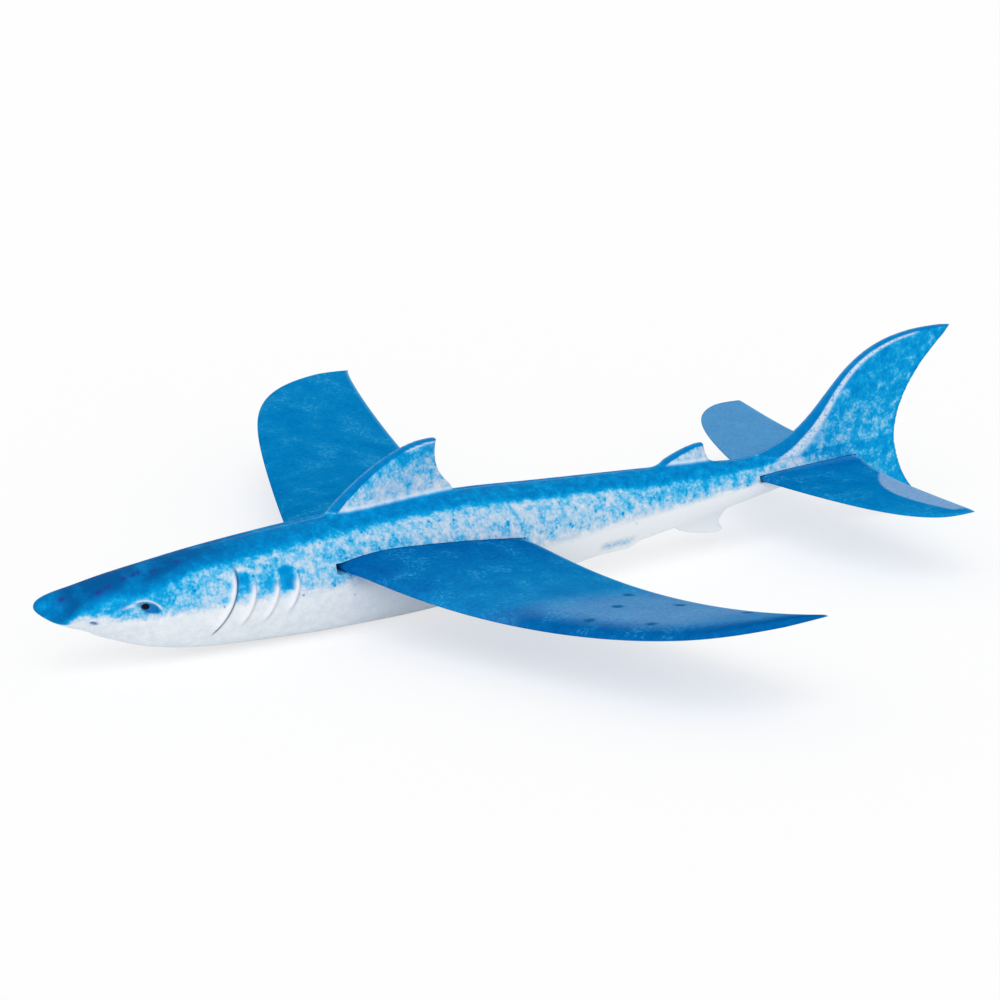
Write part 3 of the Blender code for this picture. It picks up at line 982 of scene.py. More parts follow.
@dataclass(frozen=True)
class FinPlan:
    """A fin's sizes on the body: its handles and tip are shares of its base and height."""

    name: str
    front: float
    base: float
    height: float
    thickness: float
    leading: tuple[tuple[float, float], tuple[float, float]]
    trailing: tuple[tuple[float, float], tuple[float, float]]
    tip: tuple[float, float]
    root_depth: float = 0.003
    root_front: float = -0.05
    root_rear: float = 1.04

    def fin(self, ground: Array, spacing: float = 0.0, lean: float = 0.0) -> Fin:
        """The fin, standing on a straight ground line.

        Args:
            ground: Height of the body's surface at the front and rear of the base.
            spacing: Distance from the plane of symmetry, positive to the right.
            lean: Angle that it is turned by about its root.

        Returns:
            The fin.
        """

        def seated(point: tuple[float, float]) -> tuple[float, float]:
            """X and height of a point that is given in shares of the base and the height."""
            level = ground[0] + (ground[1] - ground[0]) * point[0]
            return float(along(self.front + point[0] * self.base)), float(level + point[1] * self.height)

        depth = -self.root_depth / abs(self.height)
        leading = Bend(*map(seated, ((self.root_front, depth), *self.leading, self.tip)))
        trailing = Bend(*map(seated, ((self.root_rear, depth), *self.trailing, self.tip)))
        hinge = float(ground[0] + ground[1]) / 2
        name, thickness = self.name, self.thickness
        return Fin(name, leading, trailing, thickness, spacing=spacing, lean=lean, hinge=hinge)


FIRST_DORSAL = FinPlan(
    name="first_dorsal",
    front=0.143,
    base=0.067,
    height=0.0263,
    thickness=0.008,
    leading=((0.12, 0.33), (0.55, 1.16)),
    trailing=((1.0, 0.24), (0.82, 0.24)),
    tip=(0.87, 1),
)
SECOND_DORSAL = FinPlan(
    name="second_dorsal",
    front=0.312,
    base=0.038,
    height=0.0098,
    thickness=0.0042,
    leading=((0.01, 0.06), (0.67, 1.31)),
    trailing=((1.07, 0.47), (0.86, -0.37)),
    tip=(0.8, 1),
)
ANAL = FinPlan(
    name="anal",
    front=0.322,
    base=0.036,
    height=-0.0102,
    thickness=0.0038,
    leading=((0.03, 0.23), (0.82, 1.45)),
    trailing=((1.16, 0.37), (0.65, 0.14)),
    tip=(0.88, 0.98),
)
PELVIC = FinPlan(
    name="pelvic",
    front=0.272,
    base=0.032,
    height=-0.003,
    thickness=0.003,
    leading=((0.3, 0.6), (0.6, 1.0)),
    trailing=((1.03, 0.3), (1.0, 0.6)),
    tip=(0.9, 0.85),
)


@dataclass(frozen=True)
class TailFin:
    """The upright tail fin: a tall upper lobe and a short lower one."""

    front: float = 0.354
    length: float = 0.124
    fork: float = 0.0931
    thickness: float = 0.0062
    height: float = 0.0562
    root_depth: float = 0.0055
    depth: float = 0.028
    lower_length: float = 0.112

    def lobes(self, level: float) -> tuple[Fin, Fin]:
        """The upper and the lower lobe.

        Args:
            level: Height of the end of the body.

        Returns:
            The two fins.
        """

        def point(run: float, up: float) -> tuple[float, float]:
            """X and height of a point, from the start of the fin and the end of the body."""
            return float(along(self.front + run)), level + up

        long, high, fork = self.length, self.height, self.fork
        tip = point(long, high)
        leading = (point(0, 0.154 * high), point(0.537 * long, 0.13 * high), point(0.352 * long, 1.15 * high))
        trailing = (
            point(fork, 0.09 * high),
            point(1.005 * fork, 0.61 * high),
            point(0.959 * long, 0.851 * high),
        )
        bends = Bend(*leading, tip), Bend(*trailing, tip)
        upper = Fin("upper_lobe", *bends, self.thickness, root_depth=self.root_depth)
        long, low = self.lower_length, self.depth
        tip = point(long, -low)
        leading = (
            point(0.214 * long, -0.23 * low),
            point(0.589 * long, -0.44 * low),
            point(0.839 * long, -0.8 * low),
        )
        trailing = (
            point(fork, 0.22 * low),
            point(1.024 * fork, -0.16 * low),
            point(1.047 * fork, -0.54 * low),
        )
        lower = Fin("lower_lobe", Bend(*leading, tip), Bend(*trailing, tip), self.thickness)
        return upper, lower


@dataclass(frozen=True)
class Gill:
    """One gill: a raised lip from top to bottom, with a fine crease behind it where it is open."""

    line: Bend
    open: float = 0.0
    lip: float = 0.0011
    crease: float = 0.0009
    lip_width: float = 0.0014
    swell_width: float = 0.0035
    crease_behind: float = 0.0019
    crease_width: float = 0.0004
    step_behind: float = 0.0018
    step_width: float = 0.0008

    def relief(self, flank: Array) -> tuple[Array, Array, Array]:
        """The gill's relief over the flank.

        Args:
            flank: Distance from the nose and height of each point.

        Returns:
            How far each point rises, the strength of the painted highlight on the lip, and the strength of
            the painted shade in the crease and behind the lip.
        """
        away, share = self.line.nearest(flank, 24)
        away = -away
        ends = ease(share, 0.0, 0.2) * (1 - ease(share, 0.8, 1.0))
        lip = ends * hump(away + 0.0002, self.lip_width)
        swell = ends * hump(np.minimum(away, 0), self.swell_width) * (1 - ease(away, 0.0008, 0.0016))
        crease = self.open * ease(share, 0.08, 0.2) * (1 - ease(share, 0.9, 1.0))
        crease = crease * hump(away - self.crease_behind, self.crease_width)
        step = ends * hump(away - self.step_behind, self.step_width)
        rise = self.lip * (0.6 * lip + 0.4 * swell) - self.crease * np.maximum(0.6 * step, crease)
        # Painted shade in the open crease and in the step behind the lip.
        dark = np.maximum(crease, 0.22 * step * ease(share, 0.3, 0.6))
        # The lip's paint is a painted highlight on the raised lip.
        return rise, lip * ease(share, 0.1, 0.3), dark


@dataclass(frozen=True)
class Zone:
    """A part of the flank, between two distances from the nose and two heights."""

    front: float
    rear: float
    low: float
    high: float

    def holds(self, x: float, z: float) -> bool:
        """Whether a point of the flank lies in it."""
        return along(self.front) < x < along(self.rear) and self.low < z < self.high


@dataclass(frozen=True)
class Head:
    """Relief of the head: gills, eyes, nostrils and mouth, alike on both sides."""

    gills: tuple[Gill, ...] = (
        Gill(Bend((0.0885, 0.0451), (0.0912, 0.0346), (0.0862, 0.0221), (0.0762, 0.0121)), open=1.0),
        Gill(Bend((0.0972, 0.0371), (0.0990, 0.0306), (0.0967, 0.0221), (0.0897, 0.0141))),
        Gill(Bend((0.1084, 0.0356), (0.1100, 0.0296), (0.1073, 0.0216), (0.1004, 0.0141))),
        Gill(Bend((0.1187, 0.0361), (0.1196, 0.0306), (0.1180, 0.0236), (0.1128, 0.0176))),
    )
    gills_from: float = 0.066
    gills_to: float = 0.130
    gills_aside: float = 0.006
    eye: tuple[float, float] = (0.0484, 0.0299)
    eye_tilt: float = math.radians(-23)
    eye_half: tuple[float, float] = (0.0051, 0.0021)
    eye_aside: float = 0.008
    ball_rise: float = 0.0006
    socket_depth: float = 0.0004
    pupil: tuple[float, float] = (0.0464, 0.0309)
    pupil_half: tuple[float, float] = (0.0019, 0.0014)
    brow_above: float = 0.0025
    brow_bow: float = 46.0
    brow_width: float = 0.00055
    brow_rise: float = 0.0005
    wedge: tuple[float, float] = (0.0400, 0.0315)
    wedge_slope: float = 0.23
    wedge_half: tuple[float, float] = (0.0034, 0.0007)
    wedge_rise: float = 0.0002
    nostril: tuple[float, float] = (0.0242, 0.0253)
    nostril_half: tuple[float, float] = (0.0022, 0.0009)
    nostril_slope: float = 0.25
    nostril_aside: float = 0.006
    nostril_depth: float = 0.0009
    mouth: Bend = Bend((0.0255, 0.0146), (0.0310, 0.0201), (0.0400, 0.0212), (0.0520, 0.0201))
    mouth_below: float = 0.026
    mouth_width: float = 0.0009
    mouth_depth: float = 0.00014
    mouth_lip: float = 0.0001
    chin_depth: float = 0.0005
    fine_zones: tuple[Zone, ...] = (Zone(0.072, 0.126, 0.010, 0.048), Zone(0.036, 0.060, 0.022, 0.037))

    def gill_relief(self, flank: Array, aside: Array) -> tuple[Array, Array, Array]:
        """The relief of every gill.

        Args:
            flank: Distance from the nose and height of each point.
            aside: Each point's distance from the plane of symmetry.

        Returns:
            How far each point rises, the strength of the painted highlight on the lips, and the strength of
            the painted shade in the creases and behind the lips.
        """
        lift, lips, creases = np.zeros((3, len(flank)))
        near = (flank[:, 0] > self.gills_from) & (flank[:, 0] < self.gills_to) & (aside > self.gills_aside)
        for gill in self.gills:
            rise, lip, crease = gill.relief(flank[near])
            lift[near] += rise
            lips[near] = np.maximum(lips[near], lip)
            creases[near] = np.maximum(creases[near], crease)
        return lift, lips, creases

    def eye_relief(self, flank: Array, aside: Array) -> tuple[Array, dict[str, Array]]:
        """The relief of the eye, its brow and the wedge ahead of it.

        Args:
            flank: Distance from the nose and height of each point.
            aside: Each point's distance from the plane of symmetry.

        Returns:
            How far each point rises, and the paint layers.
        """
        outer = aside > self.eye_aside
        cos, sin = math.cos(self.eye_tilt), math.sin(self.eye_tilt)
        back, over = flank[:, 0] - self.eye[0], flank[:, 1] - self.eye[1]
        run, up = back * cos + over * sin, over * cos - back * sin
        long, high = self.eye_half
        lens = np.hypot(run / long, up / (high * (1 - 0.35 * ease(np.abs(run), 0.002, 0.0050))))
        ball = outer * (1 - ease(lens, 0.85, 1.0))
        socket = outer * hump(lens - 1.1, 0.2)
        brow = outer * hump(up - self.brow_above + self.brow_bow * run**2, self.brow_width)
        brow = brow * (1 - ease(np.abs(run + 0.0005), 0.0045, 0.0075))
        ahead, rise = flank[:, 0] - self.wedge[0], flank[:, 1] - self.wedge[1]
        wedge = outer * hump(rise - self.wedge_slope * ahead, self.wedge_half[1])
        wedge = wedge * hump(ahead, self.wedge_half[0])
        lift = self.ball_rise * ball - self.socket_depth * socket
        lift = lift + self.brow_rise * brow + self.wedge_rise * wedge
        long, high = self.pupil_half
        centre = np.hypot((flank[:, 0] - self.pupil[0]) / long, (flank[:, 1] - self.pupil[1]) / high)
        return lift, {
            # Painted highlight on the brow and on the wedge ahead of the eye.
            "lip": np.maximum(0.9 * brow * (lens > 1.1), 0.6 * wedge),
            # Painted shade round the eye's ball, where it meets the socket.
            "groove_shade": 0.5 * outer * hump(lens - 1.02, 0.1),
            "iris": 0.95 * ball,
            "pupil": outer * (1 - ease(centre, 0.85, 1.1)),
        }

    def nostril_cover(self, flank: Array, aside: Array) -> Array:
        """How far the nostril covers each point, from 0 to 1.

        Args:
            flank: Distance from the nose and height of each point.
            aside: Each point's distance from the plane of symmetry.

        Returns:
            One share for each point.
        """
        back, over = flank[:, 0] - self.nostril[0], flank[:, 1] - self.nostril[1]
        long, high = self.nostril_half
        slit = np.hypot(back / long, (over + self.nostril_slope * back) / high)
        return (aside > self.nostril_aside) * (1 - ease(slit, 0.5, 1.2))

    def mouth_relief(self, flank: Array) -> tuple[Array, Array]:
        """The relief of the mouth.

        Args:
            flank: Distance from the nose and height of each point.

        Returns:
            How far each point rises, and how far the mouth's line covers it.
        """
        away, _ = self.mouth.nearest(flank, 24)
        ends = ease(flank[:, 0], 0.024, 0.029) * (1 - ease(flank[:, 0], 0.046, 0.052))
        ends = (flank[:, 1] < self.mouth_below) * ends
        line = ends * hump(away, self.mouth_width)
        return -self.mouth_depth * line + self.mouth_lip * ends * hump(away + 0.0018, 0.0012), line

    def relief(self, points: Array) -> tuple[Array, dict[str, Array]]:
        """How far the head's relief lifts each point, and the paint that goes with it.

        Args:
            points: Positions on the body.

        Returns:
            The lift along the normal, and the paint layers.
        """
        flank = np.stack((aft_of_nose(points[:, 0]), points[:, 2]), -1)
        aside = np.abs(points[:, 1])
        gill_lift, lips, creases = self.gill_relief(flank, aside)
        eye_lift, layers = self.eye_relief(flank, aside)
        nostril = self.nostril_cover(flank, aside)
        mouth_lift, line = self.mouth_relief(flank)
        under = ease(flank[:, 0], 0.010, 0.020) * (1 - ease(flank[:, 1], 0.0195, 0.0235))
        chin = (1 - ease(flank[:, 0], 0.0255, 0.0285)) * under
        lift = gill_lift + eye_lift - self.nostril_depth * nostril + mouth_lift - self.chin_depth * chin
        # Painted highlight on the gill lips.
        layers["lip"] = np.maximum(0.9 * lips, layers["lip"])
        # Painted shade in the gill creases, round the eye and faintly in the mouth's line.
        layers["groove_shade"] = np.maximum(np.maximum(0.9 * creases, layers["groove_shade"]), 0.05 * line)
        layers["iris"] = np.maximum(layers["iris"], 0.9 * nostril)
        return lift, layers


# The print


@dataclass(frozen=True)
class FinPrint:
    """Print on a fin: a solid rim behind its leading edge, then a pale band, part print and part painted
    highlight, then speckles.
    """

    root_ink: float
    tip_ink: float
    rims: Profile = Profile((0, 1), (0, 0))
    bands: Profile = Profile((0, 1), (0, 0))
    band_strength: float = 0.0
    root_line: float = 0.0
    solid_rear: float = 0.0
    solid_width: tuple[float, float] = (0.0010, 0.0032)
    rim_soft: float = 0.0003

    def speckles(self, up: Array, rear: Array) -> Array:
        """How much print lies on the speckled field.

        Args:
            up: How far up the fin each point lies, as a share of its height.
            rear: Each point's distance from the trailing edge.

        Returns:
            The ink at each point.
        """
        ink = self.root_ink + (self.tip_ink - self.root_ink) * ease(up, 0.1, 0.8)
        return ink + self.solid_rear * (1 - ease(rear, *self.solid_width))

    def front(self, away: Array, run: Array) -> tuple[Array, Array]:
        """The solid rim behind the leading edge, and the pale band behind the rim, part print and part
        painted highlight.

        Args:
            away: Each point's distance from the leading edge.
            run: Each point's share of the way along that edge.

        Returns:
            The strength of the rim and of the band at each point.
        """
        rim_width, band_width = self.rims.at(run), self.bands.at(run)
        rim = 1 - ease(away, rim_width - self.rim_soft, rim_width + self.rim_soft)
        band = ease(away, rim_width - 0.0002, rim_width + 0.0004) * (band_width > 0.0002)
        fade = ease(away, rim_width + 0.6 * band_width, rim_width + 1.2 * band_width + 0.0004)
        return rim * (rim_width > 0.0004), self.band_strength * band * (1 - fade)


FIN_PRINTS = {
    "upper_lobe": FinPrint(
        root_ink=0.56,
        tip_ink=0.66,
        rims=Profile(
            (0, 0.25, 0.40, 0.50, 0.62, 0.75, 0.88, 1),
            (0.0048, 0.0046, 0.0038, 0.0028, 0.0022, 0.0020, 0.0015, 0.001),
        ),
        # The pale band behind the rim: pale print with painted highlight in it.
        bands=Profile(
            (0, 0.15, 0.30, 0.45, 0.55, 0.75, 0.88, 0.93),
            (0.006, 0.0055, 0.0044, 0.0028, 0.0022, 0.0013, 0.0007, 0),
        ),
        band_strength=0.9,
        solid_rear=0.15,
    ),
    "lower_lobe": FinPrint(root_ink=0.62, tip_ink=0.66, rims=Profile((0, 1), (0, 0.001)), solid_rear=0.12),
    "first_dorsal": FinPrint(
        root_ink=0.30,
        tip_ink=0.58,
        rims=Profile((0, 0.3, 0.6, 0.85, 1), (0.0042, 0.0032, 0.0023, 0.0017, 0.0011)),
        # A thin painted highlight line inside the rim near the tip.
        bands=Profile((0, 0.7, 0.8, 1), (0, 0, 0.0006, 0.0004)),
        band_strength=0.95,
        root_line=0.7,
    ),
    "second_dorsal": FinPrint(
        root_ink=0.28, tip_ink=0.44, rims=Profile((0, 0.5, 1), (0.0034, 0.0026, 0.0016)), root_line=0.8
    ),
    "anal": FinPrint(root_ink=0.02, tip_ink=0.02),
    "pelvic": FinPrint(root_ink=0.26, tip_ink=0.05),
}


@dataclass(frozen=True)
class Patch:
    """A blot of print on the flank, between two distances from the nose and two heights."""

    front: float
    rear: float
    low: float
    high: float
    ink: float
    soft: float = 0.0012

    def cover(self, place: Array, height: Array) -> Array:
        """How far the blot covers each point, from 0 to 1.

        Args:
            place: Distances from the nose.
            height: Heights.

        Returns:
            One share for each point.
        """
        run = ease(place, self.front - self.soft, self.front + self.soft)
        run *= 1 - ease(place, self.rear - self.soft, self.rear + self.soft)
        up = ease(height, self.low - self.soft, self.low + self.soft)
        return run * up * (1 - ease(height, self.high - self.soft, self.high + self.soft))


@dataclass(frozen=True)
class BodyPrint:
    """Print and some painted highlight on the body, laid out by how far each point faces up, in degrees."""

    dark_low: Profile = Profile(
        (
            0, 0.010, 0.018, 0.030, 0.045, 0.060, 0.075, 0.100, 0.150,
            0.210, 0.250, 0.280, 0.305, 0.335, 0.360, 0.378, 0.395,
        ),
        (
            -85.0, -50.0, 6.0, 30.0, 31.0, 40.0, 49.0, 50.0, 53.0,
            55.0, 51.0, 47.5, 42.0, 37.0, 42.0, 52.0, 95.0,
        ),
    )
    speck_low: Profile = Profile(
        (0, 0.012, 0.018, 0.030, 0.060, 0.090, 0.140, 0.240, 0.300, 0.360, 0.400, 0.444),
        (-90.0, -58.0, -24.0, -12.0, 0.0, 2.0, 1.0, -2.0, 0.0, 0.0, -24.0, -36.0),
    )
    dark_ink: Profile = Profile((0, 0.070, 0.120, 0.444), (0.95, 0.97, 0.90, 0.85))
    # Ink of the pale speckled band just below the dark back, which holds painted highlight too.
    high_ink_and_highlight: Profile = Profile(
        (
            0, 0.020, 0.045, 0.070, 0.100, 0.130, 0.200, 0.250,
            0.280, 0.300, 0.330, 0.360, 0.385, 0.405, 0.430, 0.444,
        ),
        (
            0.9, 0.70, 0.63, 0.49, 0.42, 0.43, 0.32, 0.35,
            0.35, 0.46, 0.54, 0.50, 0.28, 0.36, 0.60, 0.62,
        ),
    )
    low_ink: Profile = Profile(
        (0, 0.015, 0.030, 0.055, 0.080, 0.110, 0.140, 0.200, 0.260, 0.320, 0.360, 0.380, 0.410, 0.444),
        (0.8, 0.56, 0.54, 0.50, 0.42, 0.38, 0.43, 0.38, 0.36, 0.42, 0.46, 0.40, 0.52, 0.60),
    )
    patches: tuple[Patch, ...] = (
        Patch(0.0900, 0.0960, 0.0308, 0.0386, 0.68),
        Patch(0.1005, 0.1080, 0.0290, 0.0370, 0.60),
        Patch(0.1105, 0.1176, 0.0285, 0.0382, 0.76),
        Patch(0.2800, 0.2990, 0.0155, 0.0185, 0.36, soft=0.0026),
    )
    snout: Patch = Patch(0.0140, 0.0320, 0.0215, 0.0282, 0.10, soft=0.0022)
    spots: tuple[tuple[float, float], ...] = (
        (0.0113, 0.0050),
        (0.0278, 0.0079),
        (0.0327, 0.0070),
        (0.0411, 0.0060),
        (0.0455, 0.0056),
        (0.0488, 0.0052),
        (0.0554, 0.0067),
        (0.0677, 0.0058),
    )
    spot_half: tuple[float, float] = (0.0017, 0.0009)
    blots: tuple[tuple[float, float, float], ...] = (
        (0.2279, 0.0390, 0.0016),
        (0.2441, 0.0321, 0.0013),
        (0.2530, 0.0327, 0.0012),
        (0.2536, 0.0361, 0.0011),
        (0.2617, 0.0315, 0.0012),
        (0.2752, 0.0357, 0.0012),
        (0.2900, 0.0320, 0.0012),
    )
    blot_ink: float = 0.74
    throat_grey: float = 0.08
    nose_deep: float = 0.35

    def layers(self, points: Array, facing: Array) -> dict[str, Array]:
        """The print's layers over the body.

        Args:
            points: Positions on the body.
            facing: How far each one faces up, in degrees.

        Returns:
            The layers by name.
        """
        place, aside, height = aft_of_nose(points[:, 0]), np.abs(points[:, 1]), points[:, 2]
        low, edge = self.dark_low.at(place), self.speck_low.at(place)
        solid = ease(facing, low - 9, low + 7)
        specked = ease(facing, edge - 9, edge + 8)
        up = ease(facing, edge, low)
        # Pale band below the dark back: print with painted highlight in it.
        field_ink = self.low_ink.at(place) * (1 - up) + self.high_ink_and_highlight.at(place) * up
        ink = solid * self.dark_ink.at(place) + (1 - solid) * specked * field_ink
        # The belly is greyer under the head, fading out between 0.14 and 0.27 m from the nose.
        ink = np.maximum(ink, self.throat_grey * (1 - ease(place, 0.14, 0.27)))
        drops = ease(facing, edge - 16, edge) * (1 - solid) * ease(place, 0.02, 0.05)
        for patch in (*self.patches, self.snout):
            ink = ink + patch.cover(place, height) * (patch.ink - ink)
        deep = ease(facing, low + 2, low + 22) * (1 - ease(place, 0.060, 0.120))
        nose = self.nose_deep * (1 - ease(place, 0.006, 0.014))
        deep = np.maximum(deep * ease(place, 0.004, 0.016), nose)
        spot = np.zeros(len(points))
        long, wide = self.spot_half
        for at, away in self.spots:
            spot = np.maximum(spot, hump(np.hypot((place - at) / long, (aside - away) / wide), 1.0))
        spot *= facing > 20
        for at, up_at, size in self.blots:
            blot = hump(np.hypot(place - at, height - up_at), size)
            ink = np.maximum(ink, self.blot_ink * blot)
        return {"ink": ink, "deep": deep, "drops": drops, "spot": spot}


@dataclass
class Fuselage:
    """The printed foam body in two halves, with every fin that is moulded with it."""

    finish: bpy.types.Material
    hull: Hull = field(default_factory=Hull)
    tail_fin: TailFin = field(default_factory=TailFin)
    head: Head = field(default_factory=Head)
    body_print: BodyPrint = field(default_factory=BodyPrint)
    voxel: float = 0.00071
    settle_rounds: int = 3
    fillet_rounds: int = 40
    fillet_reach: tuple[float, float] = (0.0012, 0.0038)
    fillet_zone: float = 0.004
    fillet_search: float = 0.006
    pelvic_spacing: float = 0.009
    pelvic_lean: float = math.radians(44)
    block_size: tuple[float, float, float] = (1.0, 0.2, 0.6)
    fin_margin: float = 0.002
    fin_foot: tuple[float, float] = (0.0005, 0.0022)
    lobe_start: tuple[float, float] = (0.398, 0.43)
    rim_cover: float = 0.6
    rim_ink: float = 0.88
    # Width and strength of the painted highlight along the seam.
    seam_highlight_width: float = 0.0004
    seam_highlight_cover: float = 0.12
    slots_from: float = 0.12
    slots_to: float = 0.43

    def fins(self) -> list[Fin]:
        """Every fin that is moulded with the body.

        Returns:
            The fins.
        """
        hull = self.hull
        upper, lower = self.tail_fin.lobes(float(hull.middle(np.array(hull.length))))

        def ends(plan: FinPlan) -> Array:
            """Where a fin's base starts and ends."""
            return np.array([plan.front, plan.front + plan.base])

        made = [upper, lower]
        made.append(FIRST_DORSAL.fin(hull.back(ends(FIRST_DORSAL))))
        made.append(SECOND_DORSAL.fin(hull.back(ends(SECOND_DORSAL))))
        made.append(ANAL.fin(hull.belly(ends(ANAL))))
        under = hull.underside(ends(PELVIC), self.pelvic_spacing)
        for side in Side:
            made.append(PELVIC.fin(under, side.value * self.pelvic_spacing, side.value * self.pelvic_lean))
        return made

    def form(self, fins: list[Fin]) -> bpy.types.Object:
        """Body and fins in one closed skin, with soft fillets at the fins' roots.

        Args:
            fins: The fins on the body.

        Returns:
            The plain body.
        """
        shells = [fin.shell() for fin in fins]
        made = Shell.joined([self.hull.shell(), *shells]).to_object("body_form")
        remesh = made.modifiers.new("skin", "REMESH")
        remesh.mode = "VOXEL"
        remesh.voxel_size = self.voxel
        bake_modifiers(made)
        points = points_of(made.data)
        points = relaxed(made.data, points, np.full(len(points), 0.5), self.settle_rounds)
        proud, _ = self.hull.polar(points)
        trees = [shell.tree() for shell in shells]
        weight = np.zeros(len(points))
        for index in np.flatnonzero(np.abs(proud) < self.fillet_zone):
            spot = Vector(points[index])
            away = (tree.find_nearest(spot, self.fillet_search)[3] or 1.0 for tree in trees)
            weight[index] = max(min(away, default=1.0), abs(proud[index]))
        fillet = np.where(weight > 0, 1 - ease(weight, *self.fillet_reach), 0)
        set_points(made.data, relaxed(made.data, points, fillet, self.fillet_rounds))
        return made

    def refined(self, made: bpy.types.Object) -> None:
        """Halves the faces round the eyes and gills, where the relief is finest.

        Args:
            made: The plain body, whose mesh changes.
        """
        work = bmesh.new()
        work.from_mesh(made.data)
        chosen = []
        for edge in work.edges:
            x, y, z = (edge.verts[0].co + edge.verts[1].co) / 2
            if abs(y) >= self.head.eye_aside and any(zone.holds(x, z) for zone in self.head.fine_zones):
                chosen.append(edge)
        bmesh.ops.subdivide_edges(work, edges=chosen, cuts=1, use_grid_fill=True)
        work.to_mesh(made.data)
        work.free()

    def build(self) -> list[bpy.types.Object]:
        """Both halves, each standing for its packed one.

        Returns:
            The two pieces.
        """
        fins = self.fins()
        made = self.form(fins)
        self.refined(made)
        points = points_of(made.data)
        lift, _ = self.head.relief(points)
        set_points(made.data, points + lift[:, None] * normals_of(made.data))
        carve(made, [sheet.slot_cutter() for sheet in (WING, TAILPLANE)], Fusion.CUT)
        halves = []
        for side, name, node in (
            (Side.LEFT, "body_left", "fuselage_left_half"),
            (Side.RIGHT, "body_right", "fuselage_right_half"),
        ):
            half = self.half(made, side, name, fins)
            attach(half, "fuselage")
            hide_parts(node)
            halves.append(half)
        bpy.data.objects.remove(made, do_unlink=True)
        return halves

    def half(self, made: bpy.types.Object, side: Side, name: str, fins: list[Fin]) -> bpy.types.Object:
        """One half of the body.

        Args:
            made: The whole body.
            side: The side to keep.
            name: The piece's name.
            fins: The fins on the body.

        Returns:
            The painted half.
        """
        half = placed(name, made.data.copy())
        work = bmesh.new()
        bmesh.ops.create_cube(work, size=1)
        bmesh.ops.scale(work, verts=work.verts, vec=self.block_size)
        bmesh.ops.translate(work, verts=work.verts, vec=(0, side.value * self.block_size[1] / 2, 0))
        mesh = bpy.data.meshes.new("side_block")
        work.to_mesh(mesh)
        work.free()
        carve(half, [placed("side_block", mesh)], Fusion.KEEP)
        mesh = half.data
        self.colour(mesh, fins)
        mesh.materials.clear()
        mesh.materials.append(self.finish)
        smooth_shaded(mesh)
        return half

    def colour(self, mesh: bpy.types.Mesh, fins: list[Fin]) -> None:
        """Paints the layers that lay out the print, the painted highlight and the painted shade.

        Args:
            mesh: The mesh of one half.
            fins: The fins on the body.
        """
        points = points_of(mesh)
        place = aft_of_nose(points[:, 0])
        proud, facing = self.hull.polar(points)
        _, marks = self.head.relief(points)
        layers = self.body_print.layers(points, facing)
        layers["rim"], layers["pale_print_and_glint"] = np.zeros((2, len(points)))
        for fin in fins:
            self.colour_fin(fin, points, proud, layers)
        # Painted highlight along the seam on top of the back and along the fins' leading edges.
        seam_highlight = hump(points[:, 1], self.seam_highlight_width)
        seam_highlight = seam_highlight * np.maximum((facing > 40) * (proud < 0.004), 3.0 * layers["rim"])
        seam_highlight = self.seam_highlight_cover * seam_highlight * ease(place, 0.06, 0.14)
        layers["pale_print_and_glint"] = np.maximum(layers["pale_print_and_glint"], seam_highlight)
        # The slot walls, whose blue foam is painted deep navy as painted shade in the slots.
        inner = (np.abs(points[:, 1]) < 1e-6) & (proud < -0.0008)
        cut = (proud < -0.0004) & ~inner & (place > self.slots_from) & (place < self.slots_to)
        paint(mesh, {**marks, **layers, "cut": cut.astype(float)})

    def colour_fin(self, fin: Fin, points: Array, proud: Array, layers: dict[str, Array]) -> None:
        """Paints one fin's print, with the painted highlight in its pale band, over the body's.

        Args:
            fin: The fin.
            points: Positions on the body and its fins.
            proud: How far each one stands out of the body.
            layers: The layers by name, which change.
        """
        finish = FIN_PRINTS[fin.name]
        skin = fin.shell().points
        low, high = skin.min(0) - self.fin_margin, skin.max(0) + self.fin_margin
        inside = np.all((points > low) & (points < high), 1)
        spots, out = points[inside], ease(proud[inside], *self.fin_foot)
        place = aft_of_nose(spots[:, 0])
        if fin.name.endswith("lobe"):
            out = np.maximum(out, ease(place, *self.lobe_start))
        flat = np.stack((spots[:, 0], spots[:, 2]), -1)
        away, run = fin.leading.nearest(flat)
        rear, _ = fin.trailing.nearest(flat)
        stands = fin.leading.end[1] > self.hull.belly_drop
        ground = self.hull.back(place) if stands else self.hull.belly(place)
        up = np.abs(spots[:, 2] - ground) / abs(fin.leading.end[1] - fin.leading.start[1])
        layers["ink"][inside] += (finish.speckles(up, np.abs(rear)) - layers["ink"][inside]) * out
        layers["deep"][inside] *= 1 - out
        layers["drops"][inside] *= 1 - 0.9 * out
        rim, band = finish.front(np.abs(away), run)
        line = finish.root_line * out * hump(proud[inside] - 0.0019, 0.0009) * (1 - rim)
        strengths = {
            "rim": self.rim_cover * out * rim,
            "ink": self.rim_ink * out * rim,
            # The pale band, part print and part painted highlight, and the pale line along the root.
            "pale_print_and_glint": np.maximum(out * band, line),
        }
        for name, strength in strengths.items():
            layers[name][inside] = np.maximum(layers[name][inside], strength)


# Wing and tailplane


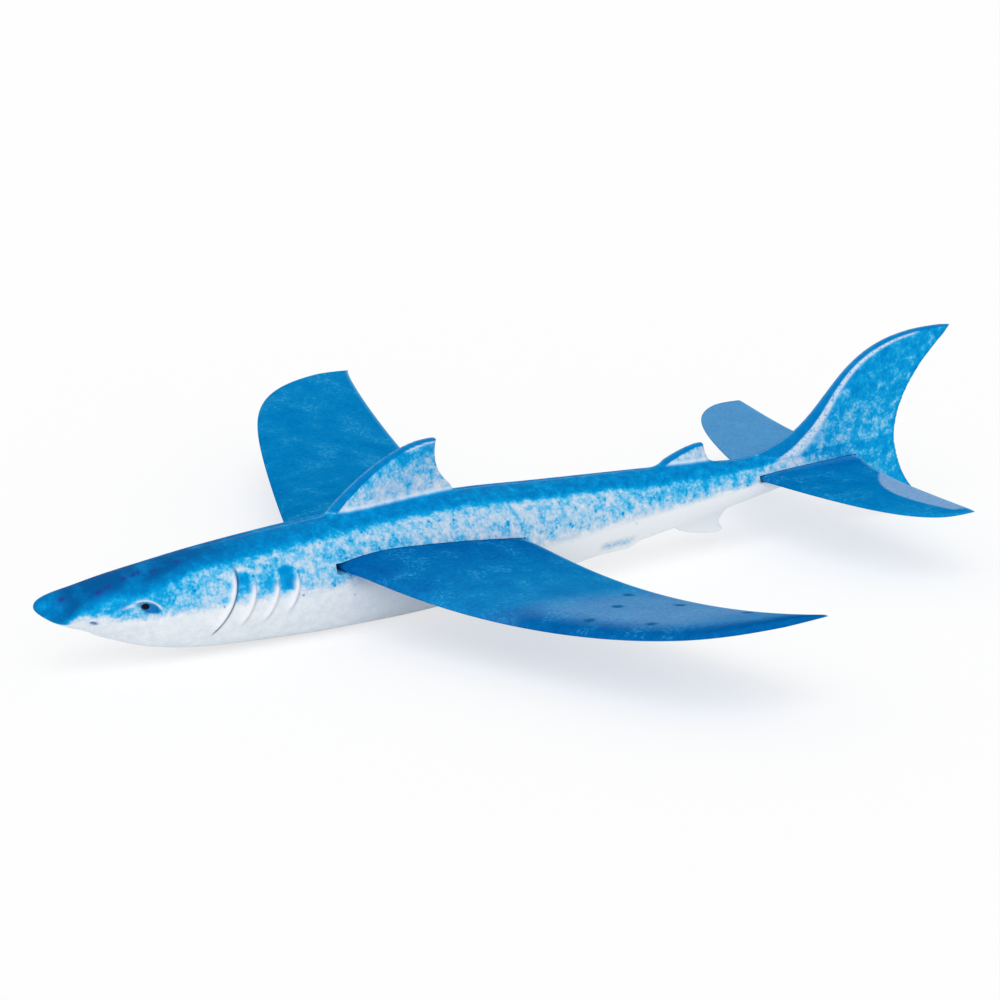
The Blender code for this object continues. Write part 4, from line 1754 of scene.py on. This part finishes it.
@dataclass(frozen=True)
class Sheet:
    """A thin cambered sheet of one piece, with a straight centre section inside the body."""

    piece: str
    node: str
    body: str
    half_span: float
    centre_half: float
    front: float
    root_chord: float
    tip_sweep: float
    thickness: float
    tip_thickness: float
    camber: float
    incidence: float
    washout: float
    level: float
    droop: float
    tip_rise: float
    leading_handles: tuple[tuple[float, float], tuple[float, float]]
    trailing_handles: tuple[tuple[float, float], tuple[float, float]]
    front_gap: float
    rear_gap: float
    marks: tuple[tuple[float, float], ...] = ()
    # Tone of the near and of the far panel along the span, which carries painted light and shade.
    left_tone: Profile = Profile((0, 1), (0.55, 0.6))
    right_tone: Profile = Profile((0, 1), (0.55, 0.6))
    # How far painted sheen and light grey the near and the far panel along the span.
    left_painted_light: Profile = Profile((0, 1), (0, 0))
    right_painted_light: Profile = Profile((0, 1), (0, 0))
    # Strength of the painted shade along the near panel's leading edge.
    dark_front: float = 0.0
    # Edge of a pool of painted light on the near panel's tip, sharp like a shadow's edge.
    light_pool_edge: Bend | None = None
    stations: int = 200
    nose_steps: int = 8
    chord_steps: int = 56
    edge_share: float = 0.4
    crest: float = 0.32
    thickest: float = 0.12
    root_ease: float = 0.05
    mark_radius: float = 0.0026
    mark_depth: float = 0.00018
    front_shade: float = 0.4
    front_reach: tuple[float, float] = (0.003, 0.022)
    front_start: tuple[float, float] = (0.3, 0.5)
    lead_shade: float = 0.12
    lead_width: float = 0.012
    cutter_half: float = 0.09

    def edge(self, start: float, handles: tuple[tuple[float, float], tuple[float, float]]) -> Bend:
        """One edge of a panel, from the centre section out.

        Args:
            start: Distance from the nose where it starts.
            handles: Its handles, as shares of the panel's span and of the way back to the tip.

        Returns:
            The edge as span and distance from the nose.
        """
        panel = self.half_span - self.centre_half
        tip = self.front + self.tip_sweep
        first, second = ((self.centre_half + a * panel, start + b * (tip - start)) for a, b in handles)
        return Bend((self.centre_half, start), first, second, (self.half_span, tip))

    def edges(self) -> tuple[Bend, Bend]:
        """The leading and the trailing edge of a panel."""
        trailing = self.edge(self.front + self.root_chord, self.trailing_handles)
        return self.edge(self.front, self.leading_handles), trailing

    def line(self, share: Array, chord: Array, incidence: Array | float) -> Array:
        """Height of the camber line above the middle of the chord.

        Args:
            share: Shares of the way aft along the chord.
            chord: The chord there.
            incidence: The angle that the chord is set at.

        Returns:
            One height for each share.
        """
        share = np.clip(share, 0, 1)
        over = np.where(share < self.crest, share, 1 - share)
        span = np.where(share < self.crest, self.crest, 1 - self.crest)
        bow = (2 * over * span - over**2) / span**2
        return self.camber * chord * bow - np.tan(incidence) * (share - 0.5) * chord

    def rings(self) -> Array:
        """The sheet's sections from one tip to the other.

        Returns:
            Rings, points of each and coordinates of each point.
        """
        leading, trailing = self.edges()
        run = np.arange(self.stations) / self.stations
        spans, fronts = leading.at(run).T
        dense = trailing.at(np.linspace(0, 1, 400))
        rears = np.interp(spans, dense[:, 0], dense[:, 1])
        chord = (rears - fronts)[:, None]
        out = ((spans - self.centre_half) / (self.half_span - self.centre_half))[:, None]
        thickness = self.thickness + (self.tip_thickness - self.thickness) * out
        thickness = np.minimum(thickness, self.thickest * chord)
        nose = thickness / chord
        turn = np.linspace(0, math.pi / 2, self.nose_steps + 1)[1:-1]
        steps = np.linspace(0, 1, self.chord_steps + 1)
        share = np.concatenate((nose * (1 - np.cos(turn)), nose + (1 - nose) * steps), 1)
        full = np.concatenate((np.sin(turn), 1 - (1 - self.edge_share) * steps))[None]
        eased = out**2 / (out + self.root_ease)
        sag = 27 / 4 * eased * (1 - eased) ** 2
        level = self.level + self.tip_rise * out**4 - self.droop * sag
        height = level + self.line(share, chord, self.incidence - self.washout * out)
        start = level + self.line(0 * nose, chord, self.incidence - self.washout * out)
        top, bottom = height + full * thickness / 2, height - full * thickness / 2
        x = np.concatenate((0 * nose, share, share[:, ::-1]), 1) * chord + fronts[:, None]
        z = np.concatenate((start, top, bottom[:, ::-1]), 1)
        y = np.broadcast_to(spans[:, None], x.shape)
        panel = np.stack((along(x), y, z), -1)
        other = panel[::-1] * np.array([1, -1, 1])
        return np.concatenate((other, panel))

    def slot_cutter(self) -> bpy.types.Object:
        """A closed prism of the slot that the centre section passes through.

        Returns:
            The prism.
        """
        chord = self.root_chord
        shares = np.linspace(0, 1, 61)
        places = np.concatenate(([-self.front_gap / chord], shares, [1 + self.rear_gap / chord]))
        room = self.thickness / 2 * (1 - (1 - self.edge_share) * np.clip(places, 0, 1)) + FIT_GAP
        middle = self.level + self.line(places, np.array(chord), self.incidence)
        x = along(self.front + places * chord)
        outline = np.concatenate((np.stack((x, middle + room), -1), np.stack((x, middle - room), -1)[::-1]))
        flat = np.stack((outline[:, 0], 0 * outline[:, 0], outline[:, 1]), -1)
        rings = np.stack([flat + np.array([0, side.value * self.cutter_half, 0]) for side in Side])
        return Shell.through(rings, (None, None)).to_object("slot_cutter")

    def dents(self, points: Array) -> tuple[Array, Array]:
        """How far each point lies in a dent or on its rim.

        Args:
            points: Positions on the sheet.

        Returns:
            The share of the dents' depth and the strength of the rims, from 0 to 1.
        """
        mark, ring = np.zeros((2, len(points)))
        place, span = aft_of_nose(points[:, 0]), np.abs(points[:, 1])
        for at_span, at_place in self.marks:
            away = np.hypot(span - at_span, place - at_place) / self.mark_radius
            mark = np.maximum(mark, 1 - ease(away, 0.75, 1.0))
            ring = np.maximum(ring, hump(away - 1, 0.22))
        return mark, ring

    def layers(self, points: Array, normals: Array) -> dict[str, Array]:
        """The colour over the sheet, with its painted light and shade, apart from its dents.

        Args:
            points: Positions on the sheet.
            normals: The surface's normal at each of them.

        Returns:
            The layers by name.
        """
        flat = np.stack((np.abs(points[:, 1]), aft_of_nose(points[:, 0])), -1)
        leading, trailing = self.edges()
        rear, _ = trailing.nearest(flat, 40)
        lead, _ = leading.nearest(flat, 40)
        out = np.clip((flat[:, 0] - self.centre_half) / (self.half_span - self.centre_half), 0, 1)
        left = points[:, 1] < 0
        # A band of painted shade along the near panel's leading edge, towards the tip.
        front = self.dark_front * left * ease(out, *self.front_start)
        front = front * (1 - ease(np.abs(lead), *self.front_reach))
        # The near and the far panel take different tones, as painted light and shade, and the blue is darker
        # along the leading edge at the root as painted shade.
        tone = np.where(left, self.left_tone.at(out), self.right_tone.at(out))
        tone = tone - self.lead_shade * hump(lead, self.lead_width) * (1 - out) - self.front_shade * front
        # Painted sheen and light that grey the blue, kept off the painted shade along the leading edge.
        painted_light = np.where(left, self.left_painted_light.at(out), self.right_painted_light.at(out)) * (1 - front)
        # A pool of painted light at the near panel's tip, with a sharp edge like a shadow's.
        if self.light_pool_edge is not None:
            beyond, _ = self.light_pool_edge.nearest(flat, 40)
            lit_pool = left * ease(-beyond, -0.0006, 0.0006) * ease(np.abs(lead), 0.004, 0.007)
            painted_light = np.maximum(painted_light, lit_pool * (out > 0.2))
        lower_lead = 0.35 * hump(lead, 0.0006) * ease(out, 0.6, 0.8) * (normals[:, 2] < -0.6)
        return {"tone": tone, "painted_light": painted_light, "edge": np.maximum(0.6 * hump(rear, 0.0009), lower_lead)}

    def build(self, finish: bpy.types.Material) -> bpy.types.Object:
        """The painted sheet, standing for its packed one.

        Args:
            finish: Its material.

        Returns:
            The piece.
        """
        rings = self.rings()
        tip_x, height = along(self.front + self.tip_sweep), rings[-1, 0, 2]
        tips = [np.array([tip_x, side.value * self.half_span, height]) for side in Side]
        made = Shell.through(rings, tips).to_object(self.piece)
        mesh = made.data
        points, normals = points_of(mesh), normals_of(mesh)
        mark, ring = self.dents(points)
        top = normals[:, 2] > 0.3
        set_points(mesh, points - (self.mark_depth * mark * top)[:, None] * normals)
        dent = np.maximum(0.5 * ring, 0.9 * mark) * top * (points[:, 1] < 0)
        paint(mesh, {**self.layers(points, normals), "mark": dent})
        mesh.materials.append(finish)
        smooth_shaded(mesh)
        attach(made, self.body)
        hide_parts(self.node)
        return made


def sheet_centre(front: float, chord: float, travel: float) -> float:
    """Half the straight centre section of a sheet that starts this far aft."""
    return float(Hull().half(np.linspace(front, front + chord, 21)).max()) + travel + FIT_GAP


def sheet_level(front: float, chord: float, above: float) -> float:
    """Height of a sheet this far above the middle of the body."""
    return float(Hull().middle(np.array(front + chord / 2))) + above


WING = Sheet(
    piece="wing_sheet",
    node="main_wing",
    body="wing",
    half_span=0.2075,
    centre_half=sheet_centre(0.1415, 0.093, 0.003),
    front=0.1415,
    root_chord=0.093,
    tip_sweep=0.1323,
    thickness=0.0042,
    tip_thickness=0.0026,
    camber=0.036,
    incidence=math.radians(1.8),
    washout=math.radians(3.6),
    level=sheet_level(0.1415, 0.093, 0.0054),
    droop=0.006,
    tip_rise=0.0115,
    leading_handles=((0.9, 0.575), (0.998, 0.43)),
    trailing_handles=((0.539, 0.646), (0.978, 0.827)),
    front_gap=0.003,
    rear_gap=0.0014,
    # Tones of the near and the far panel, which carry painted light and shade.
    left_tone=Profile((0, 0.15, 0.30, 0.45, 1), (0.32, 0.50, 0.66, 0.68, 0.60)),
    # Painted sheen that greys the near panel over its outer half.
    left_painted_light=Profile((0, 0.35, 0.5, 0.75, 0.85, 1), (0, 0.03, 0.42, 0.50, 0.24, 0.20)),
    right_tone=Profile((0, 0.15, 0.5, 1), (0.56, 0.64, 0.68, 0.68)),
    dark_front=1.0,
    marks=(
        (0.1324, 0.2007),
        (0.1201, 0.2224),
        (0.1035, 0.2384),
        (0.1590, 0.2155),
        (0.1311, 0.2473),
        (0.1673, 0.2589),
    ),
)
TAILPLANE = Sheet(
    piece="tail_sheet",
    node="tailplane",
    body="tail",
    half_span=0.0985,
    centre_half=sheet_centre(0.3696, 0.0535, 0.002),
    front=0.3696,
    root_chord=0.0535,
    tip_sweep=0.0558,
    thickness=0.003,
    tip_thickness=0.002,
    camber=0.006,
    incidence=math.radians(-1.2),
    washout=math.radians(-1.2),
    level=sheet_level(0.3696, 0.0535, 0.0009),
    droop=0.0,
    tip_rise=0.0,
    leading_handles=((0.9, 0.327), (0.998, 0.565)),
    trailing_handles=((0.24, -3.3), (0.74, -0.04)),
    front_gap=0.0012,
    rear_gap=0.0014,
    # Tones of the near and the far panel, which carry painted light and shade.
    left_tone=Profile((0, 0.4, 1), (0.50, 0.62, 0.75)),
    right_tone=Profile((0, 1), (0.95, 0.95)),
    # Painted sheen that greys the far panel all over.
    right_painted_light=Profile((0, 1), (0.42, 0.42)),
    # Edge of the pool of painted light at the near panel's tip.
    light_pool_edge=Bend((0.030, 0.4200), (0.048, 0.4040), (0.064, 0.4030), (0.0960, 0.4190)),
    stations=150,
    chord_steps=44,
)


@dataclass
class Ballast:
    """The steel slug in the nose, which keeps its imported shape."""

    finish: bpy.types.Material
    node: str = "nose_weight"

    def dress(self) -> bpy.types.Object:
        """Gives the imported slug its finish.

        Returns:
            The slug.
        """
        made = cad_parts[self.node]
        made.data.materials.clear()
        made.data.materials.append(self.finish)
        return made


# Studio


@dataclass(frozen=True)
class Studio:
    """A pale floor, soft lamps and the camera."""

    eye: tuple[float, float, float] = (-1.4277, -2.3915, 0.95687)
    aim: tuple[float, float, float] = (-0.0220, -0.0296, 0.05477)
    focal_length: float = 234.9
    sensor: float = 36.0
    floor_half: float = 30.0
    sky: float = 0.60
    seen_floor_glow: float = 0.62
    unseen_floor_glow: float = 0.15
    key_strength: float = 1.05
    key_spread: float = 45
    key_from: tuple[float, float, float] = (-0.45, -0.55, 1.0)
    fill_strength: float = 0.74
    fill_spread: float = 70
    fill_from: tuple[float, float, float] = (-0.35, -1.0, 0.15)

    def backdrop(self) -> None:
        """A white surround for what looks at it, and an even light on the object."""
        world = bpy.data.worlds.new("surround")
        bpy.context.scene.world = world
        world.use_nodes = True
        nodes, links = world.node_tree.nodes, world.node_tree.links
        plain = nodes["Background"]
        plain.inputs["Color"].default_value = (1, 1, 1, 1)
        plain.inputs["Strength"].default_value = self.sky
        white = nodes.new("ShaderNodeBackground")
        white.inputs["Color"].default_value = (1, 1, 1, 1)
        white.inputs["Strength"].default_value = 1.0
        rays = nodes.new("ShaderNodeLightPath")
        seen = rays.outputs["Is Camera Ray"]
        for name in ("Is Glossy Ray", "Is Transmission Ray"):
            more = nodes.new("ShaderNodeMath")
            more.operation = "MAXIMUM"
            links.new(seen, more.inputs[0])
            links.new(rays.outputs[name], more.inputs[1])
            seen = more.outputs[0]
        mix = nodes.new("ShaderNodeMixShader")
        links.new(seen, mix.inputs[0])
        links.new(plain.outputs[0], mix.inputs[1])
        links.new(white.outputs[0], mix.inputs[2])
        links.new(mix.outputs[0], nodes["World Output"].inputs["Surface"])

    def floor(self) -> None:
        """The floor, which looks white where no shadow lies on it."""
        half = self.floor_half
        corners = [(-half, -half, 0), (half, -half, 0), (half, half, 0), (-half, half, 0)]
        mesh = bpy.data.meshes.new("studio_floor")
        mesh.from_pydata(corners, [], [(0, 1, 2, 3)])
        made = placed("studio_floor", mesh)
        board = Board("pale_floor")
        grain = board.noise(0.4, detail=3)
        rays = board.add("ShaderNodeLightPath")
        seen = board.sum(rays.outputs["Is Camera Ray"], "MAXIMUM", rays.outputs["Is Glossy Ray"])
        seen = board.sum(seen, "MAXIMUM", rays.outputs["Is Transmission Ray"])
        pale = board.mix(grain, (0.86, 0.86, 0.86), (0.88, 0.88, 0.88))
        board.feed(board.shader, "Base Color", board.mix(seen, pale, (0.4, 0.4, 0.4)))
        board.feed(board.shader, "Roughness", 0.9)
        board.feed(board.shader, "Specular IOR Level", 0.0)
        board.feed(board.shader, "Emission Color", (1.0, 1.0, 1.0))
        more = self.seen_floor_glow - self.unseen_floor_glow
        glow = board.sum(seen, "MULTIPLY_ADD", more, self.unseen_floor_glow)
        board.feed(board.shader, "Emission Strength", glow)
        mesh.materials.append(board.material)

    def lamp(self, name: str, strength: float, source: tuple[float, float, float], spread: float) -> None:
        """A soft lamp far away.

        Args:
            name: The lamp's name.
            strength: Its strength.
            source: The direction that its light comes from.
            spread: Its width as seen from the object, in degrees.
        """
        light = bpy.data.lights.new(name, "SUN")
        light.energy = strength
        light.angle = math.radians(spread)
        placed(name, light).rotation_euler = Vector(source).to_track_quat("Z", "Y").to_euler()

    def camera(self) -> None:
        """The camera."""
        lens = bpy.data.cameras.new("camera")
        lens.lens = self.focal_length
        lens.sensor_width = self.sensor
        lens.clip_end = 100
        made = placed("camera", lens)
        made.location = self.eye
        made.rotation_euler = (Vector(self.eye) - Vector(self.aim)).to_track_quat("Z", "Y").to_euler()
        bpy.context.scene.camera = made

    def build(self) -> None:
        """The whole studio."""
        self.backdrop()
        self.floor()
        self.lamp("key_lamp", self.key_strength, self.key_from, self.key_spread)
        self.lamp("fill_lamp", self.fill_strength, self.fill_from, self.fill_spread)
        self.camera()
        bpy.context.scene.view_settings.view_transform = "Standard"


def report(pieces: Iterable[bpy.types.Object]) -> None:
    """Logs each piece's face count."""
    for piece in pieces:
        LOG.info("%s: %d faces", piece.name, len(piece.data.polygons))


def main() -> None:
    """Builds the glider and its studio."""
    logging.basicConfig(level=logging.INFO, format="%(name)s: %(message)s")
    Studio().build()
    report(Fuselage(PrintedFoam().make()).build())
    sheet_foam = SheetFoam().make()
    report([WING.build(sheet_foam), TAILPLANE.build(sheet_foam)])
    report([Ballast(TurnedSteel().make()).dress()])
    bpy.context.view_layer.update()


if __name__ == "__main__":
    main()
